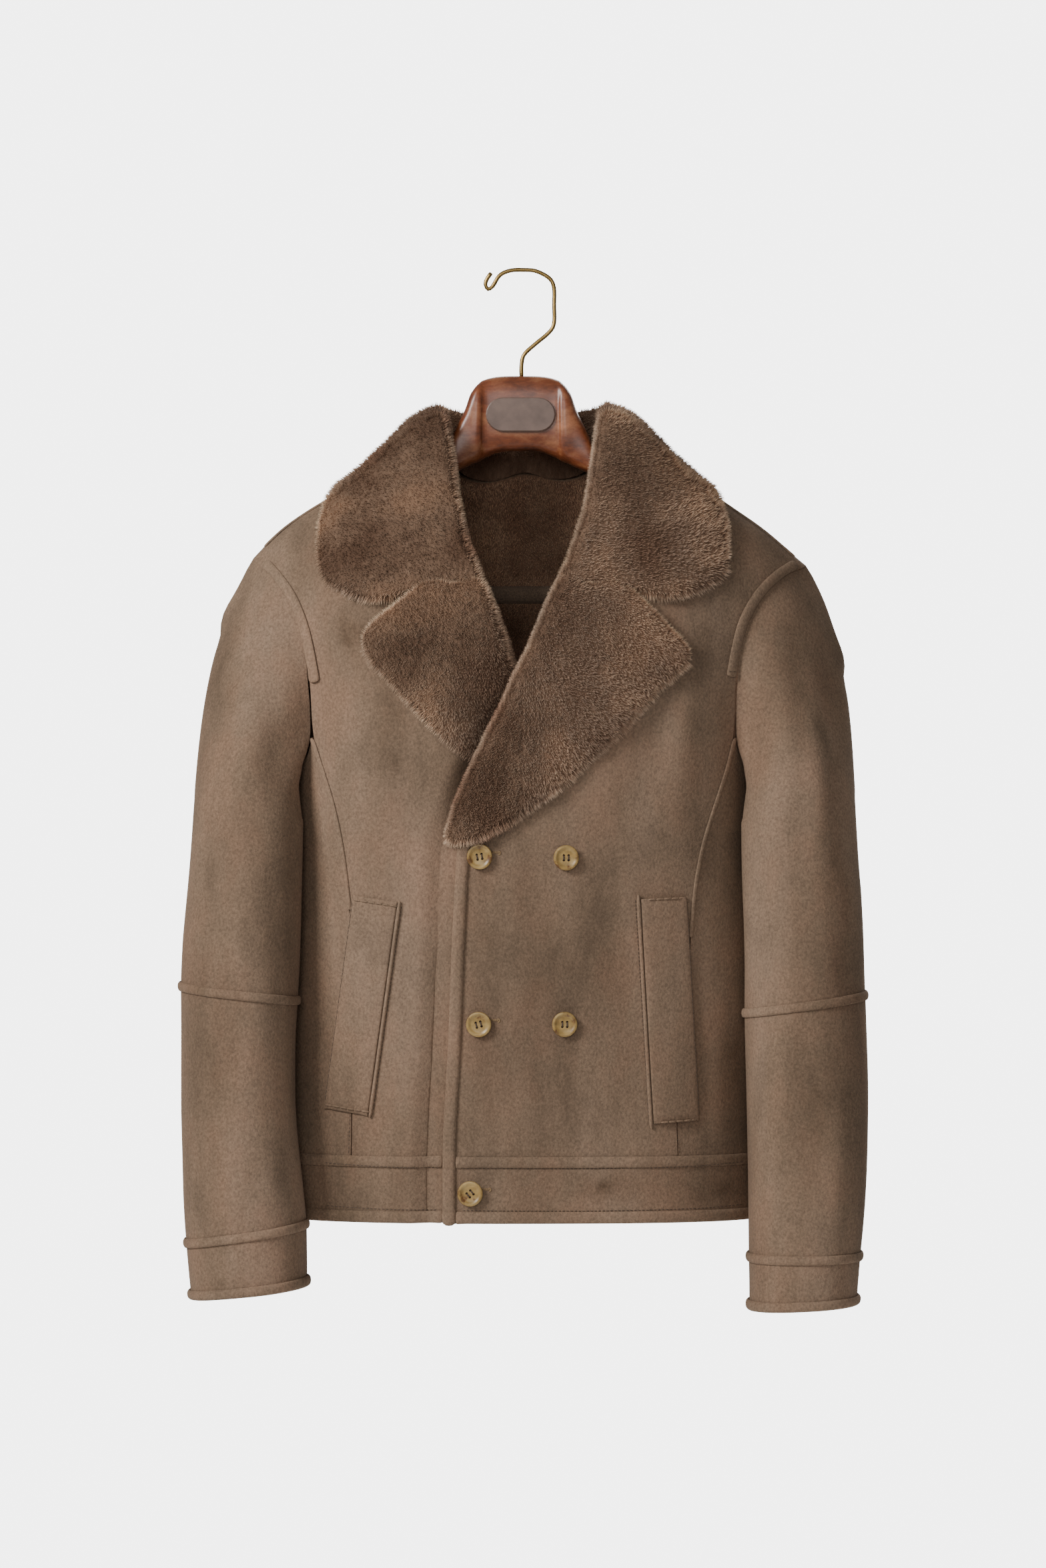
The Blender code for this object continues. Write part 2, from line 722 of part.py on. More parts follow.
def inward_grid(grid, thick):
    """The inner side of a closed tube's wall, by the normals of its outer points."""
    rows, cols = len(grid), len(grid[0])
    made = []
    for i in range(rows):
        line = []
        for j in range(cols):
            down = grid[min(i + 1, rows - 1)][j] - grid[max(i - 1, 0)][j]
            along = grid[i][(j + 1) % cols] - grid[i][j - 1]
            normal = down.cross(along).normalized()
            # A few rows further on the ring's middle is well inside the tube.
            ahead = grid[min(i + 3, rows - 1)]
            centre = sum(ahead, Vector()) / cols
            if normal.dot(centre - grid[i][j]) < 0:
                normal.negate()
            line.append(normal)
        # Neighbours share their directions, so that the wall doesn't cross itself in a corner.
        for _ in range(6):
            line = [line[j - 1] + 2 * line[j] + line[(j + 1) % cols] for j in range(cols)]
            line = [way.normalized() for way in line]
        made.append([grid[i][j] + line[j] * thick(i, j) for j in range(cols)])
    return made


def skin(row, column):
    """The sleeve's wall, pared down in the sharp corner behind the armpit."""
    near = ease(1 - abs(column / AROUND_SLEEVE - 0.625) / 0.18)
    return WALL * (1 - 0.55 * near * ease(1.6 - row / 4))


turns = [2 * pi * j / AROUND_SLEEVE for j in range(AROUND_SLEEVE)]


def rings(side, top, bottom, rows):
    return [[tube(side, top + (bottom - top) * i / rows, turn) for turn in turns]
            for i in range(rows + 1)]


for row in ACROSS:
    side = row.side
    sign = SIDES[side]
    crown = [[head(side, turn, i / HEAD_ROWS) for turn in turns] for i in range(HEAD_ROWS)]
    parts = (
        ("upper_sleeve_", crown + rings(side, HEAD_END, row.elbow + GAP / 2, 4)),
        ("lower_sleeve_", rings(side, row.elbow - GAP / 2, row.cuff + GAP / 2, 6)),
        ("cuff_", rings(side, row.cuff - GAP / 2, row.end, 2)),
    )
    whole = [line for _, lines in parts for line in lines]
    inside = inward_grid(whole, skin)
    # At a seam both walls end in one plane.
    for seam in (len(parts[0][1]), len(parts[0][1]) + len(parts[1][1])):
        for j in range(AROUND_SLEEVE):
            middle = (inside[seam - 1][j] + inside[seam][j]) / 2
            apart = (whole[seam][j] - whole[seam - 1][j]) / 2
            inside[seam - 1][j] = middle - apart
            inside[seam][j] = middle + apart
    # At the armhole the wall must not turn back into the panel it meets.
    for j, turn in enumerate(turns):
        point, off = armhole_ring(side, turn)
        wall = inside[0][j] - whole[0][j]
        if abs(turn - pi) > 0.9:
            wall -= off * min(wall.dot(off), 0.0)
            inside[0][j] = whole[0][j] + wall.normalized() * WALL
    done = 0
    for name, lines in parts:
        shell(name + side, lines, inside[done:done + len(lines)], SUEDE, closed=True)
        done += len(lines)

    def around(name, centre_z, wide, rise):
        def place(turn, across, off):
            z = centre_z + wide / 2 - across
            ahead = tube(side, z, turn + 0.02) - tube(side, z, turn - 0.02)
            fall = tube(side, z - 0.004, turn) - tube(side, z + 0.004, turn)
            return tube(side, z, turn) + ahead.cross(fall).normalized() * off * sign

        strip(name, place, turns, SUEDE, wide, rise, ring=True)

    around("elbow_strip_" + side, row.elbow, STRIP_WIDE, STRIP_RISE)
    around("cuff_strip_" + side, row.cuff, STRIP_WIDE, STRIP_RISE)
    around("cuff_bead_" + side, row.end + BEAD_WIDE / 2 + 0.0005, BEAD_WIDE, BEAD_RISE)


# How far the lapels stand off the panels.
LAPEL_REST = 0.0018
# The fold at a panel's edge: how far over the panel, and how high, outside and inside.
Fold = namedtuple("Fold", "out_along out_rise in_along in_rise")
FOLD = (
    Fold(-0.0076, -0.0058, -0.0034, -0.0056),
    Fold(-0.0086, -0.0010, -0.0034, -0.0030),
    Fold(-0.0076, 0.0038, -0.0034, 0.0000),
    Fold(-0.0044, 0.0072, -0.0018, 0.0024),
    Fold(0.0012, FUR, 0.0040, LAPEL_REST),
)

# The lapels' outer edges from the break up to the tip, seen from the front.
Lapel = namedtuple("Lapel", "part fold_z edge_x edge_z")
LAPEL = {
    "left": (
        Lapel(0.00, -0.4780, -0.0350, -0.4755),
        Lapel(0.12, -0.4600, -0.0066, -0.4590),
        Lapel(0.26, -0.4350, 0.0194, -0.4400),
        Lapel(0.40, -0.4100, 0.0435, -0.4195),
        Lapel(0.54, -0.3850, 0.0635, -0.4000),
        Lapel(0.72, -0.3520, 0.0950, -0.3680),
        Lapel(0.88, -0.3100, 0.1245, -0.3370),
        Lapel(0.95, -0.2900, 0.1320, -0.3310),
        Lapel(1.00, -0.2685, 0.1345, -0.3240),
    ),
    "right": (
        Lapel(0.00, -0.3690, -0.0300, -0.4230),
        Lapel(0.15, -0.3580, -0.0420, -0.4110),
        Lapel(0.30, -0.3460, -0.0560, -0.3980),
        Lapel(0.50, -0.3270, -0.0800, -0.3740),
        Lapel(0.72, -0.3020, -0.1070, -0.3450),
        Lapel(0.88, -0.2850, -0.1240, -0.3250),
        Lapel(1.00, -0.2685, -0.1285, -0.3100),
    ),
}
# Where the lapel's upper edge leaves the collar.
NOTCH_X = {"left": 0.0810, "right": -0.0835}
LAPEL_PARTS = (0, 0.05, 0.1, 0.15, 0.2, 0.27, 0.35, 0.45, 0.56, 0.68, 0.79, 0.9, 1)
LAPEL_COLUMNS = 8


def lapel_grid(side):
    rows = LAPEL[side]
    sign = SIDES[side]
    fold_z = curve(rows, "part", "fold_z")
    edge_x = curve(rows, "part", "edge_x")
    edge_z = curve(rows, "part", "edge_z")
    outer, inner = [], []
    for part in LAPEL_PARTS:
        z0 = fold_z(part)
        start = Vector((EDGE_X[side](z0), z0))
        below = Vector((EDGE_X[side](z0 - 0.003), z0 - 0.003))
        line = (start - below).normalized()
        away = Vector((sign * abs(line.y), -sign * abs(line.y) * line.x / line.y))
        away = away.lerp(Vector((sign, 0.05)), ease((part - 0.7) / 0.3)).normalized()
        end = Vector((edge_x(part), edge_z(part)))
        upper = [front(side, *(start + away * f.out_along), f.out_rise) for f in FOLD]
        lower = [front(side, *(start + away * f.in_along), f.in_rise) for f in FOLD]
        first = start + away * 0.004
        pull = ease((part - 0.80) / 0.20)
        for j in range(1, LAPEL_COLUMNS + 1):
            t = (j / LAPEL_COLUMNS) ** 1.4
            spot = first.lerp(end, t)
            # The topmost rows follow the collar's end as far as the notch.
            x = first.x + (NOTCH_X[side] - first.x) * min(2 * t, 1.0)
            corner = Vector((x, collar_end(side, x) - 0.0016))
            if t > 0.5:
                corner = corner.lerp(end, 2 * t - 1)
            spot = spot.lerp(corner, pull * ease(3 * t))
            soft = min(1.0, (1 - t) / 0.16)
            high = FUR_EDGE + (FUR - FUR_EDGE) * sqrt(soft * (2 - soft))
            upper.append(front(side, *spot, high))
            lower.append(front(side, *spot, LAPEL_REST))
        outer.append(upper)
        inner.append(lower)
    return outer, inner

# The collar round the neck, from the centre back (0) to the end of the right or left front (1).
# Up to the ridge the neck's edge is told by its x, in front of it by its z.
Collar = namedtuple("Collar", "part neck_x neck_z edge_x edge_tilt bow base stand flat")
COLLAR = (
    Collar(0.00, 0.0000, -0.1500, 0.0000, 53.5, 0.0, 0.000, 0.050, 0.0),
    Collar(0.14, 0.0350, -0.1500, 0.0600, 47.0, 0.0, 0.000, 0.050, 0.0),
    Collar(0.26, 0.0580, -0.1500, 0.1120, 34.0, 0.0, 0.000, 0.044, 0.0),
    Collar(0.36, 0.0690, -0.1500, 0.1470, 14.0, 0.0, 0.004, 0.036, 0.0),
    Collar(0.44, 0.0725, -0.1505, 0.1575, -3.0, 0.0, 0.006, 0.031, 0.0),
    Collar(0.54, 0.0725, -0.1600, 0.1605, -12.0, 0.0, 0.003, 0.024, 0.2),
    Collar(0.66, 0.0725, -0.1820, 0.1640, -20.0, 0.0, 0.000, 0.012, 0.6),
    Collar(0.78, 0.0725, -0.2100, 0.1665, -29.0, 0.0, 0.000, 0.004, 1.0),
    Collar(0.90, 0.0725, -0.2400, 0.1665, -39.0, 2.0, 0.000, 0.000, 1.0),
    Collar(1.00, 0.0725, -0.2665, 0.1580, -46.5, 4.5, 0.000, 0.000, 1.0),
)
RIDGE_PART = 0.44
# The standing fold at the back of the neck: along the cloth, off it, and its share of the stand.
Stand = namedtuple("Stand", "out_along out_rise out_lift in_along in_rise in_lift")
STAND = (
    Stand(-0.0078, -0.0030, 0.00, -0.0026, -0.0030, 0.00),
    Stand(-0.0084, 0.0000, 0.42, -0.0026, 0.0000, 0.40),
    Stand(-0.0080, 0.0020, 0.82, -0.0012, 0.0012, 0.70),
    Stand(-0.0030, 0.0050, 1.02, 0.0036, 0.0012, 0.80),
    Stand(0.0070, 0.0060, 1.02, 0.0090, 0.0012, 0.78),
)
COLLAR_COLUMNS = 7
COLLAR_ROWS = 16
COLLAR_REST = 0.0013
COLLAR_AT = {name: curve(COLLAR, "part", name) for name in Collar._fields if name != "part"}


def bowed(neck, edge, t, bow):
    """A spot between neck and edge, in x and tilt, bowed down on its way."""
    spot = neck + (edge - neck) * t
    return Vector((spot.x, spot.y - radians(bow) * sin(pi * max(t, 0.0) ** 2)))


def collar_end(side, x):
    """The level of the collar's front end at x, over the lapel."""
    last = COLLAR[-1]
    neck = Vector((EDGE_X[side](last.neck_z), 0.0))
    neck.y = -acos(1 - (ridge(neck.x) - last.neck_z) / ROOF)
    edge = Vector((SIDES[side] * last.edge_x, radians(last.edge_tilt)))
    spot = bowed(neck, edge, (x - neck.x) / (edge.x - neck.x), last.bow)
    return ridge(x) - ROOF * (1 - cos(spot.y))


def collar_row(side, part):
    at = {name: read(part) for name, read in COLLAR_AT.items()}
    sign = SIDES[side]
    if part <= RIDGE_PART:
        x = sign * at["neck_x"]
        z = neck_line(x)
    else:
        x, z = EDGE_X[side](at["neck_z"]), at["neck_z"]
    lean = acos(min(max(1 - (ridge(x) - z) / ROOF, -1.0), 1.0))
    neck = Vector((x, lean if part <= RIDGE_PART else -lean))
    edge = Vector((sign * at["edge_x"], radians(at["edge_tilt"])))
    # One radian of tilt is about this long along the cloth.
    arc = 0.19
    span = Vector((edge.x - neck.x, (edge.y - neck.y) * arc))
    step = Vector((span.x, span.y / arc)) / span.length
    flat = at["flat"]
    stand = at["stand"]
    base = at["base"]
    upper, lower = [], []
    for f, s in zip(FOLD, STAND):
        low = base * max(1 - 1.6 * s.out_lift, 0.0)
        out = neck + step * (f.out_along * flat + s.out_along * (1 - flat))
        rise = f.out_rise * flat + s.out_rise * (1 - flat)
        upper.append(roof(out.x, out.y, rise, stand * s.out_lift + low))
        into = neck + step * (f.in_along * flat + s.in_along * (1 - flat))
        rise = f.in_rise * flat + s.in_rise * (1 - flat)
        lower.append(roof(into.x, into.y, rise, stand * s.in_lift + low))
    last = STAND[-1]
    begin = (FOLD[-1].in_along * flat + last.in_along * (1 - flat)) / span.length
    for j in range(1, COLLAR_COLUMNS + 1):
        t = j / COLLAR_COLUMNS
        spot = bowed(neck, edge, begin + (1 - begin) * t, at["bow"])
        fall = (1 - ease(t ** 0.8)) * stand
        soft = min(1.0, (1 - t) / 0.16)
        high = FUR_EDGE + (FUR - FUR_EDGE) * sqrt(soft * (2 - soft))
        upper.append(roof(spot.x, spot.y, high, fall * last.out_lift))
        lower.append(roof(spot.x, spot.y, COLLAR_REST, fall * last.in_lift))
    return upper, lower


collar_rows = [collar_row("right", 1 - i / COLLAR_ROWS) for i in range(COLLAR_ROWS)]
collar_rows += [collar_row("left", i / COLLAR_ROWS) for i in range(COLLAR_ROWS + 1)]
shell("collar", [row[0] for row in collar_rows], [row[1] for row in collar_rows], WOOL)
for side in SIDES:
    shell("lapel_" + side, *lapel_grid(side), WOOL)


# A pocket seen from the front: the middle of its ends, its width, and the tilt of its ends.
Pocket = namedtuple("Pocket", "side top_x top_z low_x low_z width top_slope low_slope")
POCKETS = (
    Pocket("right", -0.1228, -0.5320, -0.1465, -0.7030, 0.0370, -0.0058, -0.0055),
    Pocket("left", 0.1163, -0.5291, 0.1268, -0.7135, 0.0380, 0.0015, 0.0022),
)
POCKET_ROWS = 6
for pocket in POCKETS:
    side = pocket.side
    sign = SIDES[side]

    def spot_on(across, down):
        """A spot of the pocket: across from the centre front's side, down from the top."""
        x = pocket.top_x + (pocket.low_x - pocket.top_x) * down
        z = pocket.top_z + (pocket.low_z - pocket.top_z) * down
        slope = pocket.top_slope + (pocket.low_slope - pocket.top_slope) * down
        part = across / pocket.width - 0.5
        return x + sign * part * pocket.width, z + sign * part * slope

    edges = ((0.0, 0.0024), (0.0022, 0.0036), (0.0110, 0.0039), (0.0185, 0.0040),
             (0.0265, 0.0039), (pocket.width - 0.0022, 0.0036), (pocket.width, 0.0022))
    outer, inner = [], []
    for i in range(POCKET_ROWS + 1):
        down = i / POCKET_ROWS
        ends = 0.0008 if i in (0, POCKET_ROWS) else 0.0
        outer.append([front("left", *spot_on(a, down), high - ends) for a, high in edges])
        inner.append([front("left", *spot_on(a, down), REST * 1.3) for a, high in edges])
    shell("pocket_" + side, outer, inner, SUEDE)

    def binding_place(down, across, off):
        x, z = spot_on(-0.0004 - across, down)
        return front("left", x, z, off)

    strip("pocket_binding_" + side, binding_place, np.linspace(0.0, 1.0, 7), SUEDE, 0.0030, 0.0026)


Button = namedtuple("Button", "name x z")
BUTTONS = (
    Button("button_top_right", -0.0358, -0.4936),
    Button("button_top_left", 0.0354, -0.4945),
    Button("button_low_right", -0.0364, -0.6323),
    Button("button_low_left", 0.0342, -0.6323),
    Button("button_band", -0.0437, -0.7727),
)
# A button's half section from its back to its face, and the thread it stands on.
Turned = namedtuple("Turned", "radius height")
BUTTON = (
    Turned(0.0000, 0.0000),
    Turned(0.0030, 0.0000),
    Turned(0.0030, 0.0012),
    Turned(0.0088, 0.0014),
    Turned(0.0104, 0.0026),
    Turned(0.0104, 0.0036),
    Turned(0.0094, 0.0045),
    Turned(0.0080, 0.0043),
    Turned(0.0070, 0.0034),
    Turned(0.0000, 0.0032),
)
BUTTON_STEPS = 14

for button in BUTTONS:
    section = bpy.data.meshes.new(button.name)
    section.from_pydata([(row.radius, 0, row.height) for row in BUTTON],
                        [(i, i + 1) for i in range(len(BUTTON) - 1)], [])
    made = new_object(button.name, section)
    made.data.materials.append(HORN)
    screw = made.modifiers.new("turned", "SCREW")
    screw.steps = BUTTON_STEPS
    screw.render_steps = BUTTON_STEPS
    screw.use_merge_vertices = True
    screw.merge_threshold = 0.00001
    screw.use_normal_calculate = True
    # It lies on the cloth with its face turned out.
    made.location = front("left", button.x, button.z, REST * 1.5)
    normal = outward(*body(button.x, button.z))
    made.rotation_mode = "QUATERNION"
    made.rotation_quaternion = normal.to_track_quat("Z", "Y")


# The wood's sections along X.
Wood = namedtuple("Wood", "x top bottom half_depth")
WOOD = (
    Wood(0.0000, -0.0880, -0.1520, 0.0125),
    Wood(0.0160, -0.0881, -0.1524, 0.0125),
    Wood(0.0305, -0.0884, -0.1580, 0.0126),
    Wood(0.0335, -0.0887, -0.1595, 0.0146),
    Wood(0.0370, -0.0900, -0.1612, 0.0156),
    Wood(0.0400, -0.0935, -0.1625, 0.0155),
    Wood(0.0430, -0.1020, -0.1637, 0.0152),
    Wood(0.0465, -0.1150, -0.1655, 0.0148),
    Wood(0.0520, -0.1270, -0.1680, 0.0148),
    Wood(0.0585, -0.1410, -0.1710, 0.0145),
    Wood(0.0625, -0.1530, -0.1740, 0.0140),
    Wood(0.0660, -0.1620, -0.1780, 0.0135),
    Wood(0.0730, -0.1655, -0.1830, 0.0135),
    Wood(0.0900, -0.1735, -0.1930, 0.0135),
    Wood(0.1250, -0.1870, -0.2110, 0.0140),
    Wood(0.1560, -0.2010, -0.2260, 0.0140),
    Wood(0.1800, -0.2160, -0.2480, 0.0130),
    Wood(0.1920, -0.2260, -0.2840, 0.0110),
    Wood(0.1990, -0.2350, -0.2820, 0.0090),
)
WOOD_X = -0.0020  # the hanger hangs a little off the coat's middle
WOOD_SIDES = 12
WOOD_ROUND = 3.0


def wood_loop(row, sign):
    centre = (row.top + row.bottom) / 2
    high = (row.top - row.bottom) / 2
    made = []
    for j in range(WOOD_SIDES):
        turn = 2 * pi * (j + 0.5) / WOOD_SIDES
        made.append(Vector((
            sign * row.x + WOOD_X,
            row.half_depth * power(sin(turn), 2 / WOOD_ROUND),
            centre + high * power(cos(turn), 2 / WOOD_ROUND),
        )))
    return made


loops = [wood_loop(row, -1) for row in reversed(WOOD)] + [wood_loop(row, 1) for row in WOOD[1:]]
loft("hanger_wood", loops, WALNUT)

BADGE_LONG = 0.0587
BADGE_HIGH = 0.0288
BADGE_Z = -0.1216
BADGE_ENDS = 12


def badge_loop(y, shrink):
    flat = (BADGE_LONG - BADGE_HIGH) / 2
    radius = BADGE_HIGH / 2 - shrink
    made = []
    for end in (1, -1):
        for j in range(BADGE_ENDS + 1):
            turn = pi / 2 - pi * j / BADGE_ENDS
            made.append(Vector((
                end * (flat + radius * cos(turn)) + WOOD_X,
                y,
                BADGE_Z + end * radius * sin(turn),
            )))
    return made


face = -0.0128 - GAP
loft("hanger_badge", [badge_loop(face, 0), badge_loop(face - 0.0012, 0),
                      badge_loop(face - 0.0018, 0.0009)], PLATE)

BAR_Z = -0.2735
BAR_RADIUS = 0.0074
BAR_END = 0.1840
BAR_SIDES = 16
bpy.context.view_layer.active_layer_collection = (
    bpy.context.view_layer.layer_collection.children[COAT.name]
)
bpy.ops.mesh.primitive_cylinder_add(
    vertices=BAR_SIDES,
    radius=BAR_RADIUS,
    depth=2 * BAR_END,
    location=(0, 0, BAR_Z),
    rotation=(0, pi / 2, 0),
)
bar = bpy.context.object
bar.name = "hanger_bar"
bar.data.name = "hanger_bar"
bar.data.materials.append(FELT)

WIRE = 0.00175
Bend = namedtuple("Bend", "x z")
HOOK = (
    Bend(-0.0012, -0.0877),
    Bend(-0.0012, -0.0790),
    Bend(0.0009, -0.0700),
    Bend(0.0110, -0.0605),
    Bend(0.0215, -0.0517),
    Bend(0.0262, -0.0440),
    Bend(0.0264, -0.0280),
    Bend(0.0262, -0.0130),
    Bend(0.0223, -0.0052),
    Bend(0.0110, 0.0008),
    Bend(0.0000, 0.0018),
    Bend(-0.0100, 0.0014),
    Bend(-0.0190, -0.0022),
    Bend(-0.0245, -0.0100),
    Bend(-0.0270, -0.0140),
    Bend(-0.0302, -0.0143),
    Bend(-0.0318, -0.0105),
    Bend(-0.0300, -0.0050),
    Bend(-0.0272, -0.0012),
)
HOOK_POINTS = 34


def through(bends, count):
    """Evenly spaced points of a smooth line through the bends."""
    dense = []
    for i in range(len(bends) - 1):
        p0, p1 = bends[max(i - 1, 0)], bends[i]
        p2, p3 = bends[i + 1], bends[min(i + 2, len(bends) - 1)]
        for k in range(20):
            t = k / 20
            dense.append([
                0.5 * (2 * b + (c - a) * t + (2 * a - 5 * b + 4 * c - d) * t * t
                       + (3 * b - a - 3 * c + d) * t ** 3)
                for a, b, c, d in zip(p0, p1, p2, p3)
            ])
    dense.append(list(bends[-1]))
    dense = np.array(dense)
    run = np.concatenate([[0], np.cumsum(np.linalg.norm(np.diff(dense, axis=0), axis=1))])
    goals = np.linspace(0, run[-1], count)
    return [(np.interp(g, run, dense[:, 0]), np.interp(g, run, dense[:, 1])) for g in goals]


line = bpy.data.curves.new("hanger_hook", "CURVE")
line.dimensions = "3D"
line.bevel_depth = WIRE
line.bevel_resolution = 2
line.use_fill_caps = True
spline = line.splines.new("POLY")
path = through(HOOK, HOOK_POINTS)
spline.points.add(len(path) - 1)
for point, (x, z) in zip(spline.points, path):
    point.co = (x, 0.0, z, 1.0)
hook = new_object("hanger_hook", line)
hook.data.materials.append(BRASS)
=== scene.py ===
# %% [markdown]
# # A shearling peacoat on its hanger
#
# The coat is sheepskin: suede outside, shorn wool inside, and the wool side turned out on the
# collar and lapels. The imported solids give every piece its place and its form. This lesson lays a
# finer skin over each of them, folds it softly, grows the wool, sews the seams and finishes the
# hanger. Everything is in metres, with Z up and the front towards -Y.

import math
import random
from collections import namedtuple

import bmesh
import bpy
import numpy as np
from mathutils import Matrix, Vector, noise
from mathutils.bvhtree import BVHTree
from mathutils.kdtree import KDTree


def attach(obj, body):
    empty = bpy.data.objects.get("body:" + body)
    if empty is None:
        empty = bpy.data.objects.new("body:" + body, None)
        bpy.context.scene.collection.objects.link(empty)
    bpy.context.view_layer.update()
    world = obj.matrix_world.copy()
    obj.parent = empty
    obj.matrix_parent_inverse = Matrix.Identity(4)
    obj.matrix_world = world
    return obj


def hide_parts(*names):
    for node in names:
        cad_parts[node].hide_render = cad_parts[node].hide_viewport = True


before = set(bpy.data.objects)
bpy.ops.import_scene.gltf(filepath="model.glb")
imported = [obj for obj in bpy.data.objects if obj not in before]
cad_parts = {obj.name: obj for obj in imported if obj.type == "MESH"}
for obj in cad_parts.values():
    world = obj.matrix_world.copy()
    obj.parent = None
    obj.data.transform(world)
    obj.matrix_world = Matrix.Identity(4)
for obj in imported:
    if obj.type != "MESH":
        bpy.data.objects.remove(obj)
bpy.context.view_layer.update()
bpy.ops.object.select_all(action="DESELECT")
SIDES = {"right": -1, "left": 1}

# %% [markdown]
# ## Camera and light
#
# The photo was taken square to the coat with a long lens, so the camera stands 4.5 m away at the
# height of the picture's middle. A large soft light from the upper left draws the soft shading
# down the sleeves, a weak one fills the right side, and the pale room does the rest.

# %% Camera
CAMERA_AWAY = 4.5
PICTURE_HEIGHT = 1.328  # of the coat's plane that the photo takes in
bpy.ops.object.camera_add(location=(0, -CAMERA_AWAY, -0.4336), rotation=(math.pi / 2, 0, 0))
camera = bpy.context.object
camera.data.sensor_fit = "VERTICAL"
camera.data.sensor_height = 36
camera.data.lens = 36 * CAMERA_AWAY / PICTURE_HEIGHT
bpy.context.scene.camera = camera
print("lens", round(camera.data.lens, 1))


# %% A node helper and a colour helper
def linear(colour):
    """An sRGB hex colour as the linear one that shaders want."""
    made = []
    for i in (1, 3, 5):
        part = int(colour[i:i + 2], 16) / 255
        made.append(part / 12.92 if part <= 0.04045 else ((part + 0.055) / 1.055) ** 2.4)
    return (*made, 1.0)


def add(tree, kind, inputs=(), **settings):
    """Adds a node with its settings. An input is a value, or the socket that feeds it."""
    made = tree.nodes.new(kind)
    for name, value in settings.items():
        setattr(made, name, value)
    for name, value in dict(inputs).items():
        if isinstance(value, bpy.types.NodeSocket):
            tree.links.new(value, made.inputs[name])
        else:
            made.inputs[name].default_value = value
    return made


# %% Studio light
KEY = (-2.1, -1.8, 1.0)
FILL = (-0.4, -4.3, 0.6)
BACK = (0.6, 2.6, 1.2)
for place, size, power in ((KEY, 1.0, 96), (FILL, 1.6, 40), (BACK, 2.0, 60)):
    bpy.ops.object.light_add(type="AREA", location=place)
    lamp = bpy.context.object
    lamp.data.size = size
    lamp.data.energy = power
    aim = Vector((0, 0, -0.45)) - Vector(place)
    lamp.rotation_euler = aim.to_track_quat("-Z", "Y").to_euler()
world = bpy.data.worlds.new("pale_room")
bpy.context.scene.world = world
world.use_nodes = True
tree = world.node_tree
tree.nodes.clear()
room = add(tree, "ShaderNodeBackground", {"Color": linear("#F4F4F4"), "Strength": 0.27})
seen = add(tree, "ShaderNodeBackground", {"Color": linear("#FFFFFF"), "Strength": 5.0})
path = add(tree, "ShaderNodeLightPath")
mixed = add(tree, "ShaderNodeMixShader", {0: path.outputs["Is Camera Ray"],
                                          1: room.outputs[0], 2: seen.outputs[0]})
add(tree, "ShaderNodeOutputWorld", {"Surface": mixed.outputs[0]})

# %% [markdown]
# ## Suede
#
# Suede is skin buffed to a short nap. It has no gloss, its fibres catch a little light at grazing
# angles (sheen), and where a hand has brushed it the nap lies the other way and looks paler, pinker
# or darker. So the colour is made of broad streaks that run down the coat, smaller brushed patches
# and a grain of about a millimetre. The real grain is finer than a picture point, so it is drawn
# a little coarser than it is.


# %% The suede
def new_finish(name):
    made = bpy.data.materials.new(name)
    made.use_nodes = True
    made.node_tree.nodes.clear()
    return made, made.node_tree


def ramp(tree, fac, stops):
    made = add(tree, "ShaderNodeValToRGB", {"Fac": fac})
    row = made.color_ramp
    while len(row.elements) < len(stops):
        row.elements.new(0.5)
    for element, (at, colour) in zip(row.elements, stops):
        element.position = at
        element.color = linear(colour)
    return made.outputs["Color"]


def noise_at(tree, where, scale, detail=2.0, stretch=(1, 1, 1), rough=0.5):
    spread = add(tree, "ShaderNodeMapping", {"Vector": where, "Scale": stretch})
    made = add(tree, "ShaderNodeTexNoise", {
        "Vector": spread.outputs[0], "Scale": scale, "Detail": detail, "Roughness": rough})
    return made.outputs["Fac"]


def mix(tree, how, fac, a, b):
    made = add(tree, "ShaderNodeMix", data_type="RGBA", blend_type=how)
    for socket, value in ((made.inputs[0], fac), (made.inputs[6], a), (made.inputs[7], b)):
        if isinstance(value, bpy.types.NodeSocket):
            tree.links.new(value, socket)
        else:
            socket.default_value = value
    return made.outputs[2]


def bumped(tree, height, distance, strength=1.0, under=None):
    inputs = {"Height": height, "Distance": distance, "Strength": strength}
    if under is not None:
        inputs["Normal"] = under
    return add(tree, "ShaderNodeBump", inputs).outputs["Normal"]


